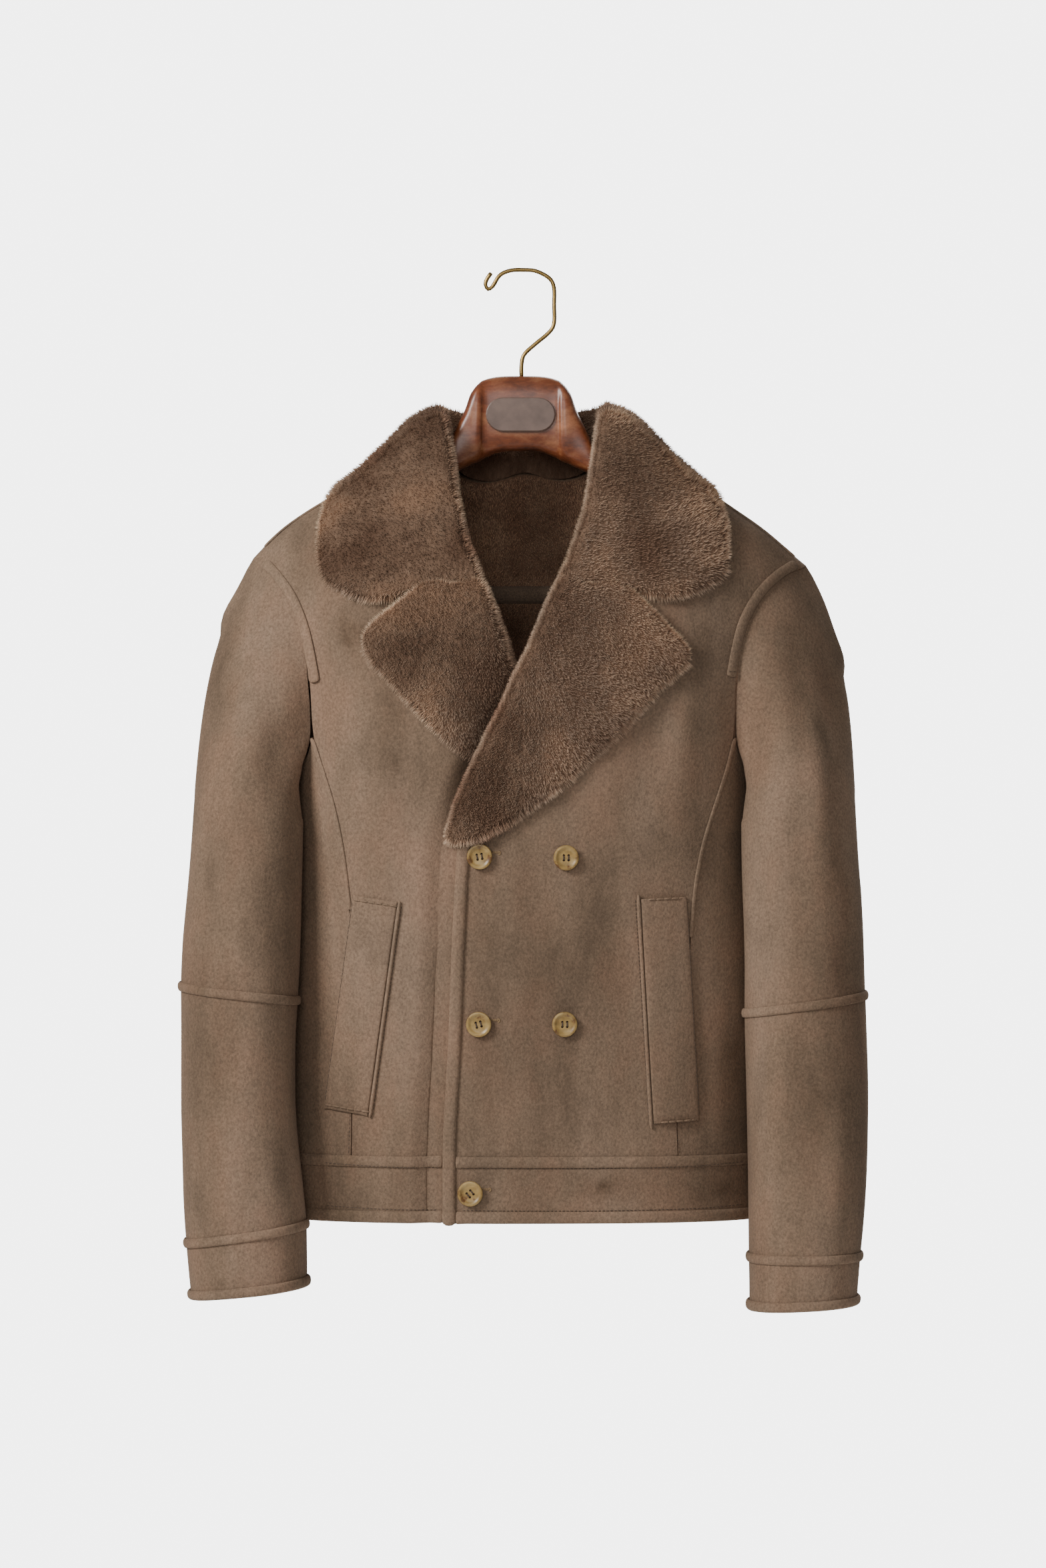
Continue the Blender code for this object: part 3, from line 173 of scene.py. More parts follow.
def suede_finish(name, dark, middle, light):
    made, tree = new_finish(name)
    where = add(tree, "ShaderNodeTexCoord").outputs["Object"]
    streaks = noise_at(tree, where, 17, 3, (1, 1, 0.22))
    patches = noise_at(tree, where, 22, 5, (1, 1, 0.6), 0.62)
    grain = noise_at(tree, where, 520, 3, (1, 1, 0.8), 0.7)
    tone = ramp(tree, streaks, ((0.30, dark), (0.50, middle), (0.72, light)))
    brushed = ramp(tree, patches, ((0.32, "#827E78"), (0.46, "#B4AEA8"), (0.66, "#CDB9B0")))
    tone = mix(tree, "OVERLAY", 0.40, tone, brushed)
    speck = ramp(tree, grain, ((0.32, "#8A8A8A"), (0.68, "#D8D8D8")))
    tone = mix(tree, "OVERLAY", 0.6, tone, speck)
    # Where the nap was brushed against its lie it is darker, or paler and pinker.
    against = add(tree, "ShaderNodeAttribute", attribute_name="against").outputs["Fac"]
    along = add(tree, "ShaderNodeAttribute", attribute_name="along").outputs["Fac"]
    tone = mix(tree, "MULTIPLY", against, tone, linear("#B9B2AA"))
    tone = mix(tree, "SCREEN", along, tone, linear("#3A2A22"))
    normal = bumped(tree, grain, 0.0009, 0.55)
    normal = bumped(tree, patches, 0.0022, 0.35, normal)
    shader = add(tree, "ShaderNodeBsdfPrincipled", {
        "Base Color": tone, "Roughness": 0.92, "IOR": 1.45, "Normal": normal})
    shader.inputs["Specular IOR Level"].default_value = 0.18
    shader.inputs["Sheen Weight"].default_value = 0.22
    shader.inputs["Sheen Roughness"].default_value = 0.55
    shader.inputs["Sheen Tint"].default_value = linear("#B59F8B")
    add(tree, "ShaderNodeOutputMaterial", {"Surface": shader.outputs[0]})
    return made


SUEDE = suede_finish("napped_suede", "#6A5848", "#7C6856", "#8A7563")
EDGES = suede_finish("napped_suede_edges", "#6C5A49", "#7F6B59", "#8D7865")
print("suede ready")

# %% [markdown]
# ## Shorn wool
#
# The wool side is shorn to an even pile about 8 mm long. Deep in the pile it is painted dark brown
# as painted shade, and the tips are beige, partly their own colour and partly painted light, so a
# lock is coloured along its length by an attribute that runs from 0 at its root to 1 at its tip.
# Another attribute gives each lock its own tone, and adds painted light: paler towards the cut
# edges and on faces that look up.


# %% The wool
def wool_finish(name, root, middle, tip, by_lock, sheen=0.5):
    made, tree = new_finish(name)
    where = add(tree, "ShaderNodeTexCoord").outputs["Object"]
    clouds = noise_at(tree, where, 17, 3, (1, 1, 1), 0.5)
    locks = noise_at(tree, where, 260, 3, (1, 1, 0.45), 0.65)
    if by_lock:
        along = add(tree, "ShaderNodeAttribute", attribute_name="tip").outputs["Fac"]
        tone_and_painted_light = add(tree, "ShaderNodeAttribute", attribute_name="tone_and_painted_light").outputs["Fac"]
        # Painted shade and light: a lock is painted dark at its root, as shade deep in the pile,
        # and paler at its tip.
        tone = ramp(tree, along, ((0.0, root), (0.5, middle), (1.0, tip)))
        # Each lock's own tone, with painted light at the cut edges and on faces that look up.
        lock_tone_and_painted_light = ramp(tree, tone_and_painted_light, ((0.0, "#9C9C9C"), (0.5, "#BCBCBC"), (1.0, "#DCD8D2")))
        tone = mix(tree, "OVERLAY", 0.7, tone, lock_tone_and_painted_light)
    else:
        tone = ramp(tree, locks, ((0.25, root), (0.55, middle), (0.85, tip)))
    cloud = ramp(tree, clouds, ((0.34, "#8A7A70"), (0.52, "#BDB8B4"), (0.68, "#E0D6CC")))
    tone = mix(tree, "OVERLAY", 0.7, tone, cloud)
    normal = bumped(tree, locks, 0.004, 0.7)
    shader = add(tree, "ShaderNodeBsdfPrincipled", {
        "Base Color": tone, "Roughness": 0.9, "IOR": 1.5, "Normal": normal})
    shader.inputs["Specular IOR Level"].default_value = 0.2
    shader.inputs["Sheen Weight"].default_value = sheen
    shader.inputs["Sheen Roughness"].default_value = 0.40
    shader.inputs["Sheen Tint"].default_value = linear("#C8AE96")
    add(tree, "ShaderNodeOutputMaterial", {"Surface": shader.outputs[0]})
    return made


PILE = wool_finish("shorn_wool_pile", "#5A4638", "#6A5545", "#7C6655", False, 0.1)
LOCKS = wool_finish("shorn_wool_locks", "#5E493A", "#8A7260", "#C8B29D", True)
LINING = wool_finish("wool_inside", "#6A5242", "#7D6350", "#917662", False, 0.2)
# The neck's locks are the collar's wool painted lighter: painted light in the shaded inside of the
# neck.
NECK_LOCKS_PAINTED_LIGHT = wool_finish("wool_locks_inside_painted_light", "#8A6C57", "#AC8C72", "#D8B99C", True)
print("wool ready")

# %% [markdown]
# ## A skin over each solid
#
# Each solid is a wall of wide facets. A copy of it is welded, its triangles are joined to fours and
# Subdivision Surface rounds it, with the cut edges creased so that neighbours still meet at their
# seams. Rounding draws the surface in, so the cage is first pushed out until the rounded surface
# passes through the solid's own corners. That keeps every piece where its solid is, and leaves
# points fine enough to fold.


# %% Copy a solid as a fine skin
def points_of(piece):
    flat = np.empty(len(piece.data.vertices) * 3)
    piece.data.vertices.foreach_get("co", flat)
    return flat.reshape(-1, 3)


def place_points(piece, points):
    piece.data.vertices.foreach_set("co", np.ascontiguousarray(points).ravel())
    piece.data.update()


def push_cage(piece, times):
    """Moves the cage out until the rounded surface passes through its first corners."""
    wanted = points_of(piece)
    cage = wanted.copy()
    for _ in range(times):
        looked = piece.evaluated_get(bpy.context.evaluated_depsgraph_get()).to_mesh()
        rounded = np.empty(len(looked.vertices) * 3)
        looked.vertices.foreach_get("co", rounded)
        cage += (wanted - rounded.reshape(-1, 3)[:len(wanted)]) * 0.9
        place_points(piece, cage)
        bpy.context.view_layer.update()


def skin(node, levels=2, rim=1.0):
    """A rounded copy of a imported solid, as a new piece."""
    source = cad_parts[node]
    piece = bpy.data.objects.new(node + "_skin", source.data.copy())
    bpy.context.scene.collection.objects.link(piece)
    piece.data.materials.clear()
    bpy.ops.object.select_all(action="DESELECT")
    piece.select_set(True)
    bpy.context.view_layer.objects.active = piece
    bpy.ops.object.mode_set(mode="EDIT")
    bpy.ops.mesh.select_all(action="SELECT")
    bpy.ops.mesh.remove_doubles(threshold=0.00002)
    bpy.ops.mesh.tris_convert_to_quads(face_threshold=math.radians(70),
                                       shape_threshold=math.radians(120))
    bpy.ops.object.mode_set(mode="OBJECT")
    work = bmesh.new()
    work.from_mesh(piece.data)
    crease = work.edges.layers.float.new("crease_edge")
    for edge in work.edges:
        if len(edge.link_faces) == 2 and edge.calc_face_angle(0) > math.radians(54):
            edge[crease] = rim
    work.to_mesh(piece.data)
    work.free()
    for attribute in ("custom_normal", "sharp_edge", "sharp_face"):
        if attribute in piece.data.attributes:
            piece.data.attributes.remove(piece.data.attributes[attribute])
    soft = piece.modifiers.new("soft", "SUBSURF")
    soft.levels = levels
    soft.render_levels = levels
    push_cage(piece, 3)
    bpy.ops.object.modifier_apply(modifier="soft")
    bpy.ops.object.shade_smooth_by_angle(angle=math.radians(55))
    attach(piece, "root")
    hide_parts(node)
    return piece


# %% [markdown]
# ## Folds
#
# Shearling is stiff and hangs almost flat, in long soft troughs. Each one is a row of a table:
# where it starts and ends seen from the front, how wide and how deep it is. All pieces at a place
# are moved by the same field, so seams, strips and pockets stay together. Sleeves have their own
# rows, and the hidden back gets a few like those in front.

# %% Brushed places
Brushed = namedtuple("Brushed", "side x z wide high how")
NAP = (
    Brushed("front", 0.0640, -0.7680, 0.024, 0.010, 0.75),
    Brushed("front", 0.1580, -0.7720, 0.028, 0.012, 0.60),
    Brushed("front", -0.0480, -0.4300, 0.012, 0.014, 0.60),
    Brushed("front", -0.1420, -0.3060, 0.016, 0.024, 0.65),
    Brushed("front", -0.1080, -0.3900, 0.014, 0.060, 0.35),
    Brushed("front", 0.1740, -0.6700, 0.010, 0.040, 0.55),
    Brushed("front", 0.1460, -0.3200, 0.018, 0.040, 0.40),
    Brushed("front", -0.0300, -0.5450, 0.012, 0.030, 0.30),
    Brushed("front", 0.0250, -0.5850, 0.030, 0.035, 0.30),
    Brushed("front", 0.0950, -0.5300, 0.016, 0.060, 0.25),
    Brushed("front", -0.1100, -0.5300, 0.016, 0.050, -0.45),
    Brushed("front", -0.0780, -0.6600, 0.020, 0.060, -0.40),
    Brushed("front", 0.0700, -0.4300, 0.030, 0.060, -0.25),
    Brushed("front", 0.1450, -0.6000, 0.014, 0.060, -0.45),
    Brushed("front", 0.0200, -0.7050, 0.040, 0.020, -0.30),
    Brushed("front", 0.1100, -0.7300, 0.030, 0.012, -0.35),
    Brushed("right_arm", -0.2480, -0.3600, 0.010, 0.060, 0.20),
    Brushed("right_arm", -0.2300, -0.5100, 0.010, 0.080, -0.25),
    Brushed("right_arm", -0.2560, -0.6900, 0.008, 0.060, 0.30),
    Brushed("right_arm", -0.2200, -0.7600, 0.010, 0.050, 0.20),
    Brushed("right_arm", -0.2400, -0.8450, 0.020, 0.012, 0.20),
    Brushed("left_arm", 0.2300, -0.3400, 0.012, 0.060, 0.35),
    Brushed("left_arm", 0.2560, -0.4700, 0.010, 0.080, 0.30),
    Brushed("left_arm", 0.2200, -0.5600, 0.010, 0.060, -0.25),
    Brushed("left_arm", 0.2420, -0.7200, 0.010, 0.060, 0.30),
    Brushed("left_arm", 0.2250, -0.8350, 0.020, 0.012, -0.25),
    Brushed("back", -0.0900, -0.3800, 0.030, 0.050, 0.40),
    Brushed("back", 0.0600, -0.5000, 0.030, 0.060, -0.35),
    Brushed("back", 0.1000, -0.3000, 0.024, 0.030, 0.35),
    Brushed("back", 0.0100, -0.7700, 0.040, 0.012, 0.45),
)


def brush(piece, wheres):
    """Marks the brushed places on a piece: against the nap is dark, along it is pale."""
    points = points_of(piece)
    marks = np.zeros(len(points))
    ragged = np.array([noise.noise(Vector(p) * 70) + 0.6 * noise.noise(Vector(p) * 190)
                       for p in points])
    for row in NAP:
        if row.side not in wheres:
            continue
        mine, _ = share(row.side, points)
        off = ((points[:, 0] - row.x) / row.wide) ** 2 + ((points[:, 2] - row.z) / row.high) ** 2
        marks += row.how * np.exp(-off + ragged * 0.9) * mine * 0.9
    for name, values in (("against", np.clip(marks, 0, 1)), ("along", np.clip(-marks, 0, 1))):
        layer = piece.data.attributes.new(name, "FLOAT", "POINT")
        layer.data.foreach_set("value", values)


# %% The table of troughs
Trough = namedtuple("Trough", "where x z to_x to_z wide deep")
TROUGHS = (
    Trough("front", -0.098, -0.290, -0.078, -0.560, 0.030, 0.0030),
    Trough("front", -0.060, -0.430, -0.062, -0.640, 0.022, -0.0014),
    Trough("front", -0.130, -0.330, -0.118, -0.480, 0.020, -0.0016),
    Trough("front", 0.118, -0.300, 0.098, -0.470, 0.020, 0.0020),
    Trough("front", 0.140, -0.330, 0.128, -0.470, 0.014, -0.0012),
    Trough("front", 0.062, -0.440, 0.090, -0.640, 0.030, 0.0016),
    Trough("front", -0.005, -0.540, -0.002, -0.700, 0.026, -0.0014),
    Trough("front", 0.086, -0.690, 0.070, -0.760, 0.020, 0.0012),
    Trough("front", -0.012, -0.780, -0.040, -0.745, 0.010, 0.0012),
    Trough("back", -0.070, -0.300, -0.052, -0.620, 0.028, 0.0026),
    Trough("back", 0.082, -0.340, 0.060, -0.600, 0.026, 0.0022),
    Trough("back", 0.004, -0.420, 0.010, -0.700, 0.030, -0.0018),
    Trough("back", -0.130, -0.400, -0.120, -0.560, 0.020, -0.0014),
    Trough("back", 0.136, -0.420, 0.124, -0.600, 0.018, 0.0016),
    Trough("right_arm", -0.246, -0.330, -0.262, -0.560, 0.016, 0.0024),
    Trough("right_arm", -0.212, -0.300, -0.205, -0.460, 0.014, 0.0020),
    Trough("right_arm", -0.226, -0.480, -0.234, -0.600, 0.016, -0.0016),
    Trough("right_arm", -0.236, -0.654, -0.2365, -0.672, 0.0022, 0.0012),
    Trough("right_arm", -0.2316, -0.800, -0.2312, -0.815, 0.0022, 0.0012),
    Trough("right_arm", -0.262, -0.660, -0.258, -0.780, 0.014, 0.0016),
    Trough("right_arm", -0.205, -0.700, -0.208, -0.790, 0.012, -0.0012),
    Trough("left_arm", 0.252, -0.310, 0.268, -0.520, 0.014, 0.0026),
    Trough("left_arm", 0.226, -0.290, 0.236, -0.480, 0.012, 0.0018),
    Trough("left_arm", 0.207, -0.420, 0.212, -0.600, 0.014, -0.0018),
    Trough("left_arm", 0.262, -0.560, 0.270, -0.615, 0.012, 0.0020),
    Trough("left_arm", 0.238, -0.660, 0.232, -0.800, 0.018, 0.0016),
    Trough("left_arm", 0.262, -0.700, 0.256, -0.810, 0.012, -0.0012),
)
print("troughs", len(TROUGHS))


# %% The field that moves the cloth
def arm_axis(sign, z):
    """The middle of a sleeve at a level, as x and y."""
    x = sign * np.interp(-z, (0.25, 0.43, 0.61, 0.69, 0.87), (0.225, 0.228, 0.236, 0.237, 0.230))
    y = -np.interp(-z, (0.25, 0.43, 0.61, 0.69, 0.87), (0.0, 0.040, 0.061, 0.069, 0.079))
    return x, y


def share(where, points):
    """How much of each point belongs to a side of the coat, and which way is in."""
    x, y, z = points.T
    inward = np.zeros_like(points)
    if where in ("front", "back"):
        sign = -1 if where == "front" else 1
        inward[:, 1] = -sign
        return (np.sign(y) == sign) * 1.0, inward
    sign = -1 if where == "right_arm" else 1
    axis_x, axis_y = arm_axis(sign, z)
    inward[:, 0] = axis_x - x
    inward[:, 1] = axis_y - y
    length = np.linalg.norm(inward, axis=1, keepdims=True) + 1e-9
    return (np.sign(x) == sign) * 1.0, inward / length


def fold(piece, wheres):
    """Presses the troughs of some sides into a piece."""
    points = points_of(piece)
    moved = points.copy()
    for row in TROUGHS:
        if row.where not in wheres:
            continue
        mine, inward = share(row.where, points)
        start = np.array((row.x, row.z))
        run = np.array((row.to_x, row.to_z)) - start
        flat = points[:, (0, 2)] - start
        along = np.clip(flat @ run / (run @ run), 0, 1)
        off = np.linalg.norm(flat - along[:, None] * run, axis=1)
        ends = np.sin(np.pi * np.clip(along, 0, 1)) ** 0.6
        depth = 1.6 * row.deep * np.exp(-(off / row.wide) ** 2) * ends * mine
        if row.where.endswith("arm"):
            depth = depth * np.where(points[:, 1] < arm_axis(1, points[:, 2])[1], 1.0, 0.35)
        moved += inward * depth[:, None]
    # A slow unevenness that no table lists.
    soft = np.array([noise.noise(Vector(p) * 9.0) for p in points]) * 0.0012
    moved[:, 1] += soft * np.sign(points[:, 1])
    brush(piece, wheres)
    place_points(piece, moved)


# %% [markdown]
# ## Body, hem band and sleeves
#
# Each wall shows suede outside and wool inside, so its faces get the wool where they look in. A
# sheet's flat cut is stated with it: the width and length of skin that it was cut from, and the
# area of the cut.

# %% Cuts of the skin, as a cutter would note them
Cut = namedtuple("Cut", "node wheres width length area")
CUTS = (
    Cut("back", ("back",), 0.62, 0.66, 0.33),
    Cut("front_left", ("front",), 0.34, 0.62, 0.14),
    Cut("front_right", ("front",), 0.32, 0.62, 0.12),
    Cut("side_left", ("front",), 0.13, 0.35, 0.034),
    Cut("side_right", ("front",), 0.12, 0.35, 0.030),
    Cut("band_back", ("back",), 0.50, 0.051, 0.024),
    Cut("band_left", ("front",), 0.32, 0.051, 0.015),
    Cut("band_right", ("front",), 0.30, 0.065, 0.0150),
    Cut("upper_sleeve_left", ("left_arm",), 0.42, 0.40, 0.13),
    Cut("upper_sleeve_right", ("right_arm",), 0.42, 0.40, 0.12),
    Cut("lower_sleeve_left", ("left_arm",), 0.35, 0.21, 0.069),
    Cut("lower_sleeve_right", ("right_arm",), 0.34, 0.20, 0.065),
    Cut("cuff_left", ("left_arm",), 0.31, 0.042, 0.013),
    Cut("cuff_right", ("right_arm",), 0.32, 0.049, 0.015),
)


def looks_in(centre, normal, where):
    """Tells a wall's wool side from its suede side."""
    if where.endswith("arm"):
        x, y = arm_axis(-1 if where == "right_arm" else 1, centre[2])
        return normal[0] * (centre[0] - x) + normal[1] * (centre[1] - y) < 0
    if centre[2] < -0.36:
        return normal[0] * centre[0] * 0.6 + normal[1] * centre[1] < 0
    return (normal[0] * centre[0] + normal[1] * centre[1] * 2
            + normal[2] * (centre[2] + 0.40)) < 0


def paint_inside(piece, outside, inside, where):
    """Gives a wall its suede outside and wool inside, and returns the suede's area."""
    piece.data.materials.append(outside)
    piece.data.materials.append(inside)
    area = 0.0
    for face in piece.data.polygons:
        if looks_in(face.center, face.normal, where):
            face.material_index = 1
        else:
            area += face.area
    return area


panels = {}
for cut in CUTS:
    piece = skin(cut.node)
    area = paint_inside(piece, SUEDE, LINING, cut.wheres[0])
    fold(piece, cut.wheres)
    panels[cut.node] = piece
    half = sum(face.area for face in piece.data.polygons) / 2
    print(cut.node, len(piece.data.polygons), "faces, suede", round(area, 4), round(half, 4), "m2")

# %% [markdown]
# ## Strips, beads and pockets
#
# What is sewn over the panels is cut from the same skin. The strips are turned edges, and they get
# a slightly paler finish.

# %% Trim
ARM_TRIM = ("elbow_strip", "cuff_strip", "cuff_bead")
FRONT_TRIM = ("seam_strip", "armhole_strip", "shoulder_strip", "pocket", "pocket_binding")
trim = {}
for side in SIDES:
    for kind in ARM_TRIM:
        trim[kind + "_" + side] = (side + "_arm",)
    for kind in FRONT_TRIM + ("band_strip", "hem_bead"):
        trim[kind + "_" + side] = ("front",)
trim["band_strip_back"] = ("back",)
trim["hem_bead_back"] = ("back",)
trim["front_bead"] = ("front",)
sewn = {}
for node, wheres in trim.items():
    piece = skin(node, levels=2, rim=0.25 if not node.startswith("pocket_l") else 0.7)
    piece.data.materials.append(SUEDE if node in ("pocket_left", "pocket_right") else EDGES)
    fold(piece, wheres)
    sewn[node] = piece
print("trim", len(sewn))

# %% [markdown]
# ## Set the sleeves in
#
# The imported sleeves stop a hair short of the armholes, so that no two solids share a face. Sewn
# leather meets, so the sleeve heads are eased on to the body over the last few millimetres.


# %% Ease the sleeve heads
def set_in(piece, onto, reach=0.0080, full=0.0036, low=-0.350, high=-0.325):
    """Closes a seam: points near the other piece are drawn to it, the nearest all the way."""
    points = points_of(piece)
    for i, point in enumerate(points):
        level = min(max((point[2] - low) / (high - low), 0), 1)
        if level == 0:
            continue
        near, _, _, away = onto.find_nearest(Vector(point), reach)
        if near is None:
            continue
        pull = min((reach - away) / (reach - full), 1) * level
        points[i] = np.array(point) * (1 - pull) + np.array(near) * pull
    place_points(piece, points)


def tree_over(pieces):
    points, faces = [], []
    for piece in pieces:
        start = len(points)
        points += [v.co.copy() for v in piece.data.vertices]
        faces += [tuple(start + i for i in f.vertices) for f in piece.data.polygons]
    return BVHTree.FromPolygons(points, faces)


for side in SIDES:
    body = tree_over([panels["front_" + side], panels["back"]])
    set_in(panels["upper_sleeve_" + side], body)

# %% [markdown]
# ## Collar and lapels
#
# The wool side is out here. A real fleece could be hair particles, but those are lost in an export,
# so it is modelled as many short tapering locks, three faces each. They are sown over the skin at
# random but seeded places, lean with the nap, and stand further out along the cut edge, where
# the real wool bristles.


# %% Sow locks over a skin
Lock = namedtuple("Lock", "length wide lean")
FLEECE = Lock(0.0054, 0.00040, 0.60)
INSIDE = Lock(0.0042, 0.00042, 0.80)


def at_rim(face):
    """The rim of a turned-out piece looks sideways, neither at the front nor at the coat."""
    return face.center.y < -0.02 and face.normal.y > -0.55


def sow(piece, count, seed, hidden, lock=FLEECE, finish=LOCKS):
    """A mesh of locks over a piece. hidden(centre, normal) tells the faces that get none."""
    draw = random.Random(seed)
    faces, weights = [], []
    for face in piece.data.polygons:
        if not hidden(face.center, face.normal):
            faces.append(face)
            weights.append(face.area * (3.2 if at_rim(face) else 1.0))
    rims = [face.center for face in faces if at_rim(face)]
    edge_at = KDTree(max(len(rims), 1))
    for i, centre in enumerate(rims or [Vector((9, 9, 9))]):
        edge_at.insert(centre, i)
    edge_at.balance()
    picks = draw.choices(range(len(faces)), weights=weights, k=count)
    verts = piece.data.vertices
    points, tris, tips, tones_and_painted_light = [], [], [], []
    for pick in picks:
        face = faces[pick]
        corners = [verts[i].co for i in face.vertices]
        a, b = draw.random(), draw.random()
        if len(corners) == 4:
            root = (corners[0].lerp(corners[1], a)).lerp(corners[3].lerp(corners[2], a), b)
        else:
            a = 1 - a if a + b > 1 else a
            b = min(b, 1 - a)
            root = corners[0] + (corners[1] - corners[0]) * a + (corners[2] - corners[0]) * b
        normal = face.normal
        # The nap lies down and outwards, and wanders from patch to patch.
        nap = Vector((0.5 * (1 if root.x > 0 else -1), 0, -0.8))
        nap += noise.noise_vector(root * 15) * 1.0
        nap += Vector((draw.gauss(0, 0.22), draw.gauss(0, 0.22), draw.gauss(0, 0.22)))
        nap -= normal * nap.dot(normal)
        rim = at_rim(face)
        lean = lock.lean * draw.uniform(0.5, 1.1) * (0.35 if rim else 1.0)
        away = (normal + nap.normalized() * lean).normalized()
        long = lock.length * draw.uniform(0.6, 1.1)
        if rim:
            long *= 1.7 if normal.z < -0.3 else 1.2
        side = away.cross(normal + Vector((0.01, 0.02, 0.03))).normalized() * lock.wide
        other = away.cross(side).normalized() * lock.wide
        base = root - normal * 0.0012
        first = len(points)
        for turn in range(3):
            angle = 2 * math.pi * turn / 3
            points.append(base + side * math.cos(angle) + other * math.sin(angle))
        points.append(base + away * long)
        for turn in range(3):
            tris.append((first + turn, first + (turn + 1) % 3, first + 3))
        tips += [0.0, 0.0, 0.0, 1.0]
        tone_and_painted_light = 0.5 + 0.4 * noise.noise(root * 32) + draw.gauss(0, 0.10)
        # Painted light: paler towards the cut edges, where the rims catch the light.
        tone_and_painted_light += 0.34 * math.exp(-edge_at.find(root)[2] / 0.011) - 0.04
        # Painted light: faces that look up are painted paler, as if lit from above.
        tone_and_painted_light += 0.30 * max(normal.z, 0)
        tones_and_painted_light += [min(max(tone_and_painted_light, 0), 1)] * 4
    mesh = bpy.data.meshes.new(piece.name + "_locks")
    mesh.from_pydata(points, [], tris)
    for name, values in (("tip", tips), ("tone_and_painted_light", tones_and_painted_light)):
        layer = mesh.attributes.new(name, "FLOAT", "POINT")
        layer.data.foreach_set("value", values)
    made = bpy.data.objects.new(mesh.name, mesh)
    bpy.context.scene.collection.objects.link(made)
    made.data.materials.append(finish)
    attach(made, "root")
    return made


# %% The collar and lapels
def lumpy(piece, high):
    """The fleece is not quite even: it rises and falls by a millimetre or so."""
    points = points_of(piece)
    normals = np.empty(len(points) * 3)
    piece.data.vertex_normals.foreach_get("vector", normals)
    lumps = np.array([noise.noise(Vector(p) * 45) + 0.5 * noise.noise(Vector(p) * 110)
                      for p in points])
    place_points(piece, points + normals.reshape(-1, 3) * (lumps * high)[:, None])


def under_side(centre, normal):
    """The side that lies on the coat."""
    if centre.y < -0.02:
        return normal.y > 0.62
    return normal.z < -0.2 or (centre.y > 0.02 and normal.y < -0.3 and centre.z < -0.15)


def not_in_neck(centre, normal):
    """All of the back but the wool that shows in the neck."""
    seen = abs(centre.x) < 0.085 and centre.z > -0.37
    return not seen or not looks_in(centre, normal, "back")


neck_wool = sow(panels["back"], 30000, 11, not_in_neck, INSIDE, NECK_LOCKS_PAINTED_LIGHT)
print("locks in the neck", len(neck_wool.data.polygons) // 3)

FUR_CUTS = (
    Cut("collar", (), 0.60, 0.16, 0.075, ),
    Cut("lapel_left", (), 0.16, 0.24, 0.020),
    Cut("lapel_right", (), 0.14, 0.16, 0.012),
)
LOCK_COUNTS = {"collar": 62000, "lapel_left": 34000, "lapel_right": 20000}
for cut in FUR_CUTS:
    piece = skin(cut.node, levels=2, rim=0.2)
    lumpy(piece, 0.0011)
    piece.data.materials.append(PILE)
    shown = sum(f.area for f in piece.data.polygons if not under_side(f.center, f.normal))
    locks = sow(piece, LOCK_COUNTS[cut.node], 7, under_side)
    panels[cut.node] = piece
    print(cut.node, "locks", len(locks.data.polygons) // 3, "shown", round(shown, 4), "m2")

# %% [markdown]
# ## Hanger
#
# The hanger is walnut, turned and varnished to a satin. Walnut has long dark grain lines and a
# warm red-brown between them. The bar is flocked, the plate is left blank, and the hook is bent
# brass wire that has dulled.


# %% Walnut, plate, felt and brass
def plain_finish(name, tone_of, rough, metallic=0.0, coat=0.0, bump=0.0):
    made, tree = new_finish(name)
    where = add(tree, "ShaderNodeTexCoord").outputs["Object"]
    tone, height = tone_of(tree, where)
    inputs = {"Base Color": tone, "Roughness": rough, "Metallic": metallic}
    if bump:
        inputs["Normal"] = bumped(tree, height, bump, 0.6)
    shader = add(tree, "ShaderNodeBsdfPrincipled", inputs)
    shader.inputs["Coat Weight"].default_value = coat
    shader.inputs["Coat Roughness"].default_value = 0.22
    add(tree, "ShaderNodeOutputMaterial", {"Surface": shader.outputs[0]})
    return made


def walnut_tone(tree, where):
    fibres = noise_at(tree, where, 110, 5, (0.3, 1, 0.6), 0.7)
    bands = noise_at(tree, where, 22, 3, (0.7, 1, 1.2), 0.5)
    pores = noise_at(tree, where, 600, 2, (0.3, 1, 0.5), 0.6)
    tone = ramp(tree, fibres, ((0.28, "#5E2E18"), (0.50, "#A45E38"), (0.72, "#D09668")))
    wide = ramp(tree, bands, ((0.3, "#6E5A50"), (0.7, "#A89488")))
    tone = mix(tree, "OVERLAY", 0.6, tone, wide)
    dots = ramp(tree, pores, ((0.30, "#4A4A4A"), (0.45, "#8A8A8A")))
    return mix(tree, "MULTIPLY", 0.35, tone, dots), fibres


def plate_tone(tree, where):
    cloud = noise_at(tree, where, 90, 4)
    return ramp(tree, cloud, ((0.3, "#5E4A40"), (0.7, "#725C50"))), cloud


def felt_tone(tree, where):
    fuzz = noise_at(tree, where, 900, 3)
    return ramp(tree, fuzz, ((0.3, "#4E3F32"), (0.7, "#6E5B49"))), fuzz


def brass_tone(tree, where):
    cloud = noise_at(tree, where, 160, 4)
    return ramp(tree, cloud, ((0.3, "#8A7040"), (0.7, "#9F8350"))), cloud


def horn_tone(tree, where):
    cloud = noise_at(tree, where, 130, 3, (1, 1, 1), 0.6)
    streak = noise_at(tree, where, 70, 2, (1, 1, 4), 0.5)
    tone = ramp(tree, cloud, ((0.32, "#6A4722"), (0.42, "#9A7B44"), (0.75, "#B79A62")))
    veil = ramp(tree, streak, ((0.35, "#8C8C8C"), (0.65, "#B4B0A8")))
    return mix(tree, "OVERLAY", 0.5, tone, veil), cloud


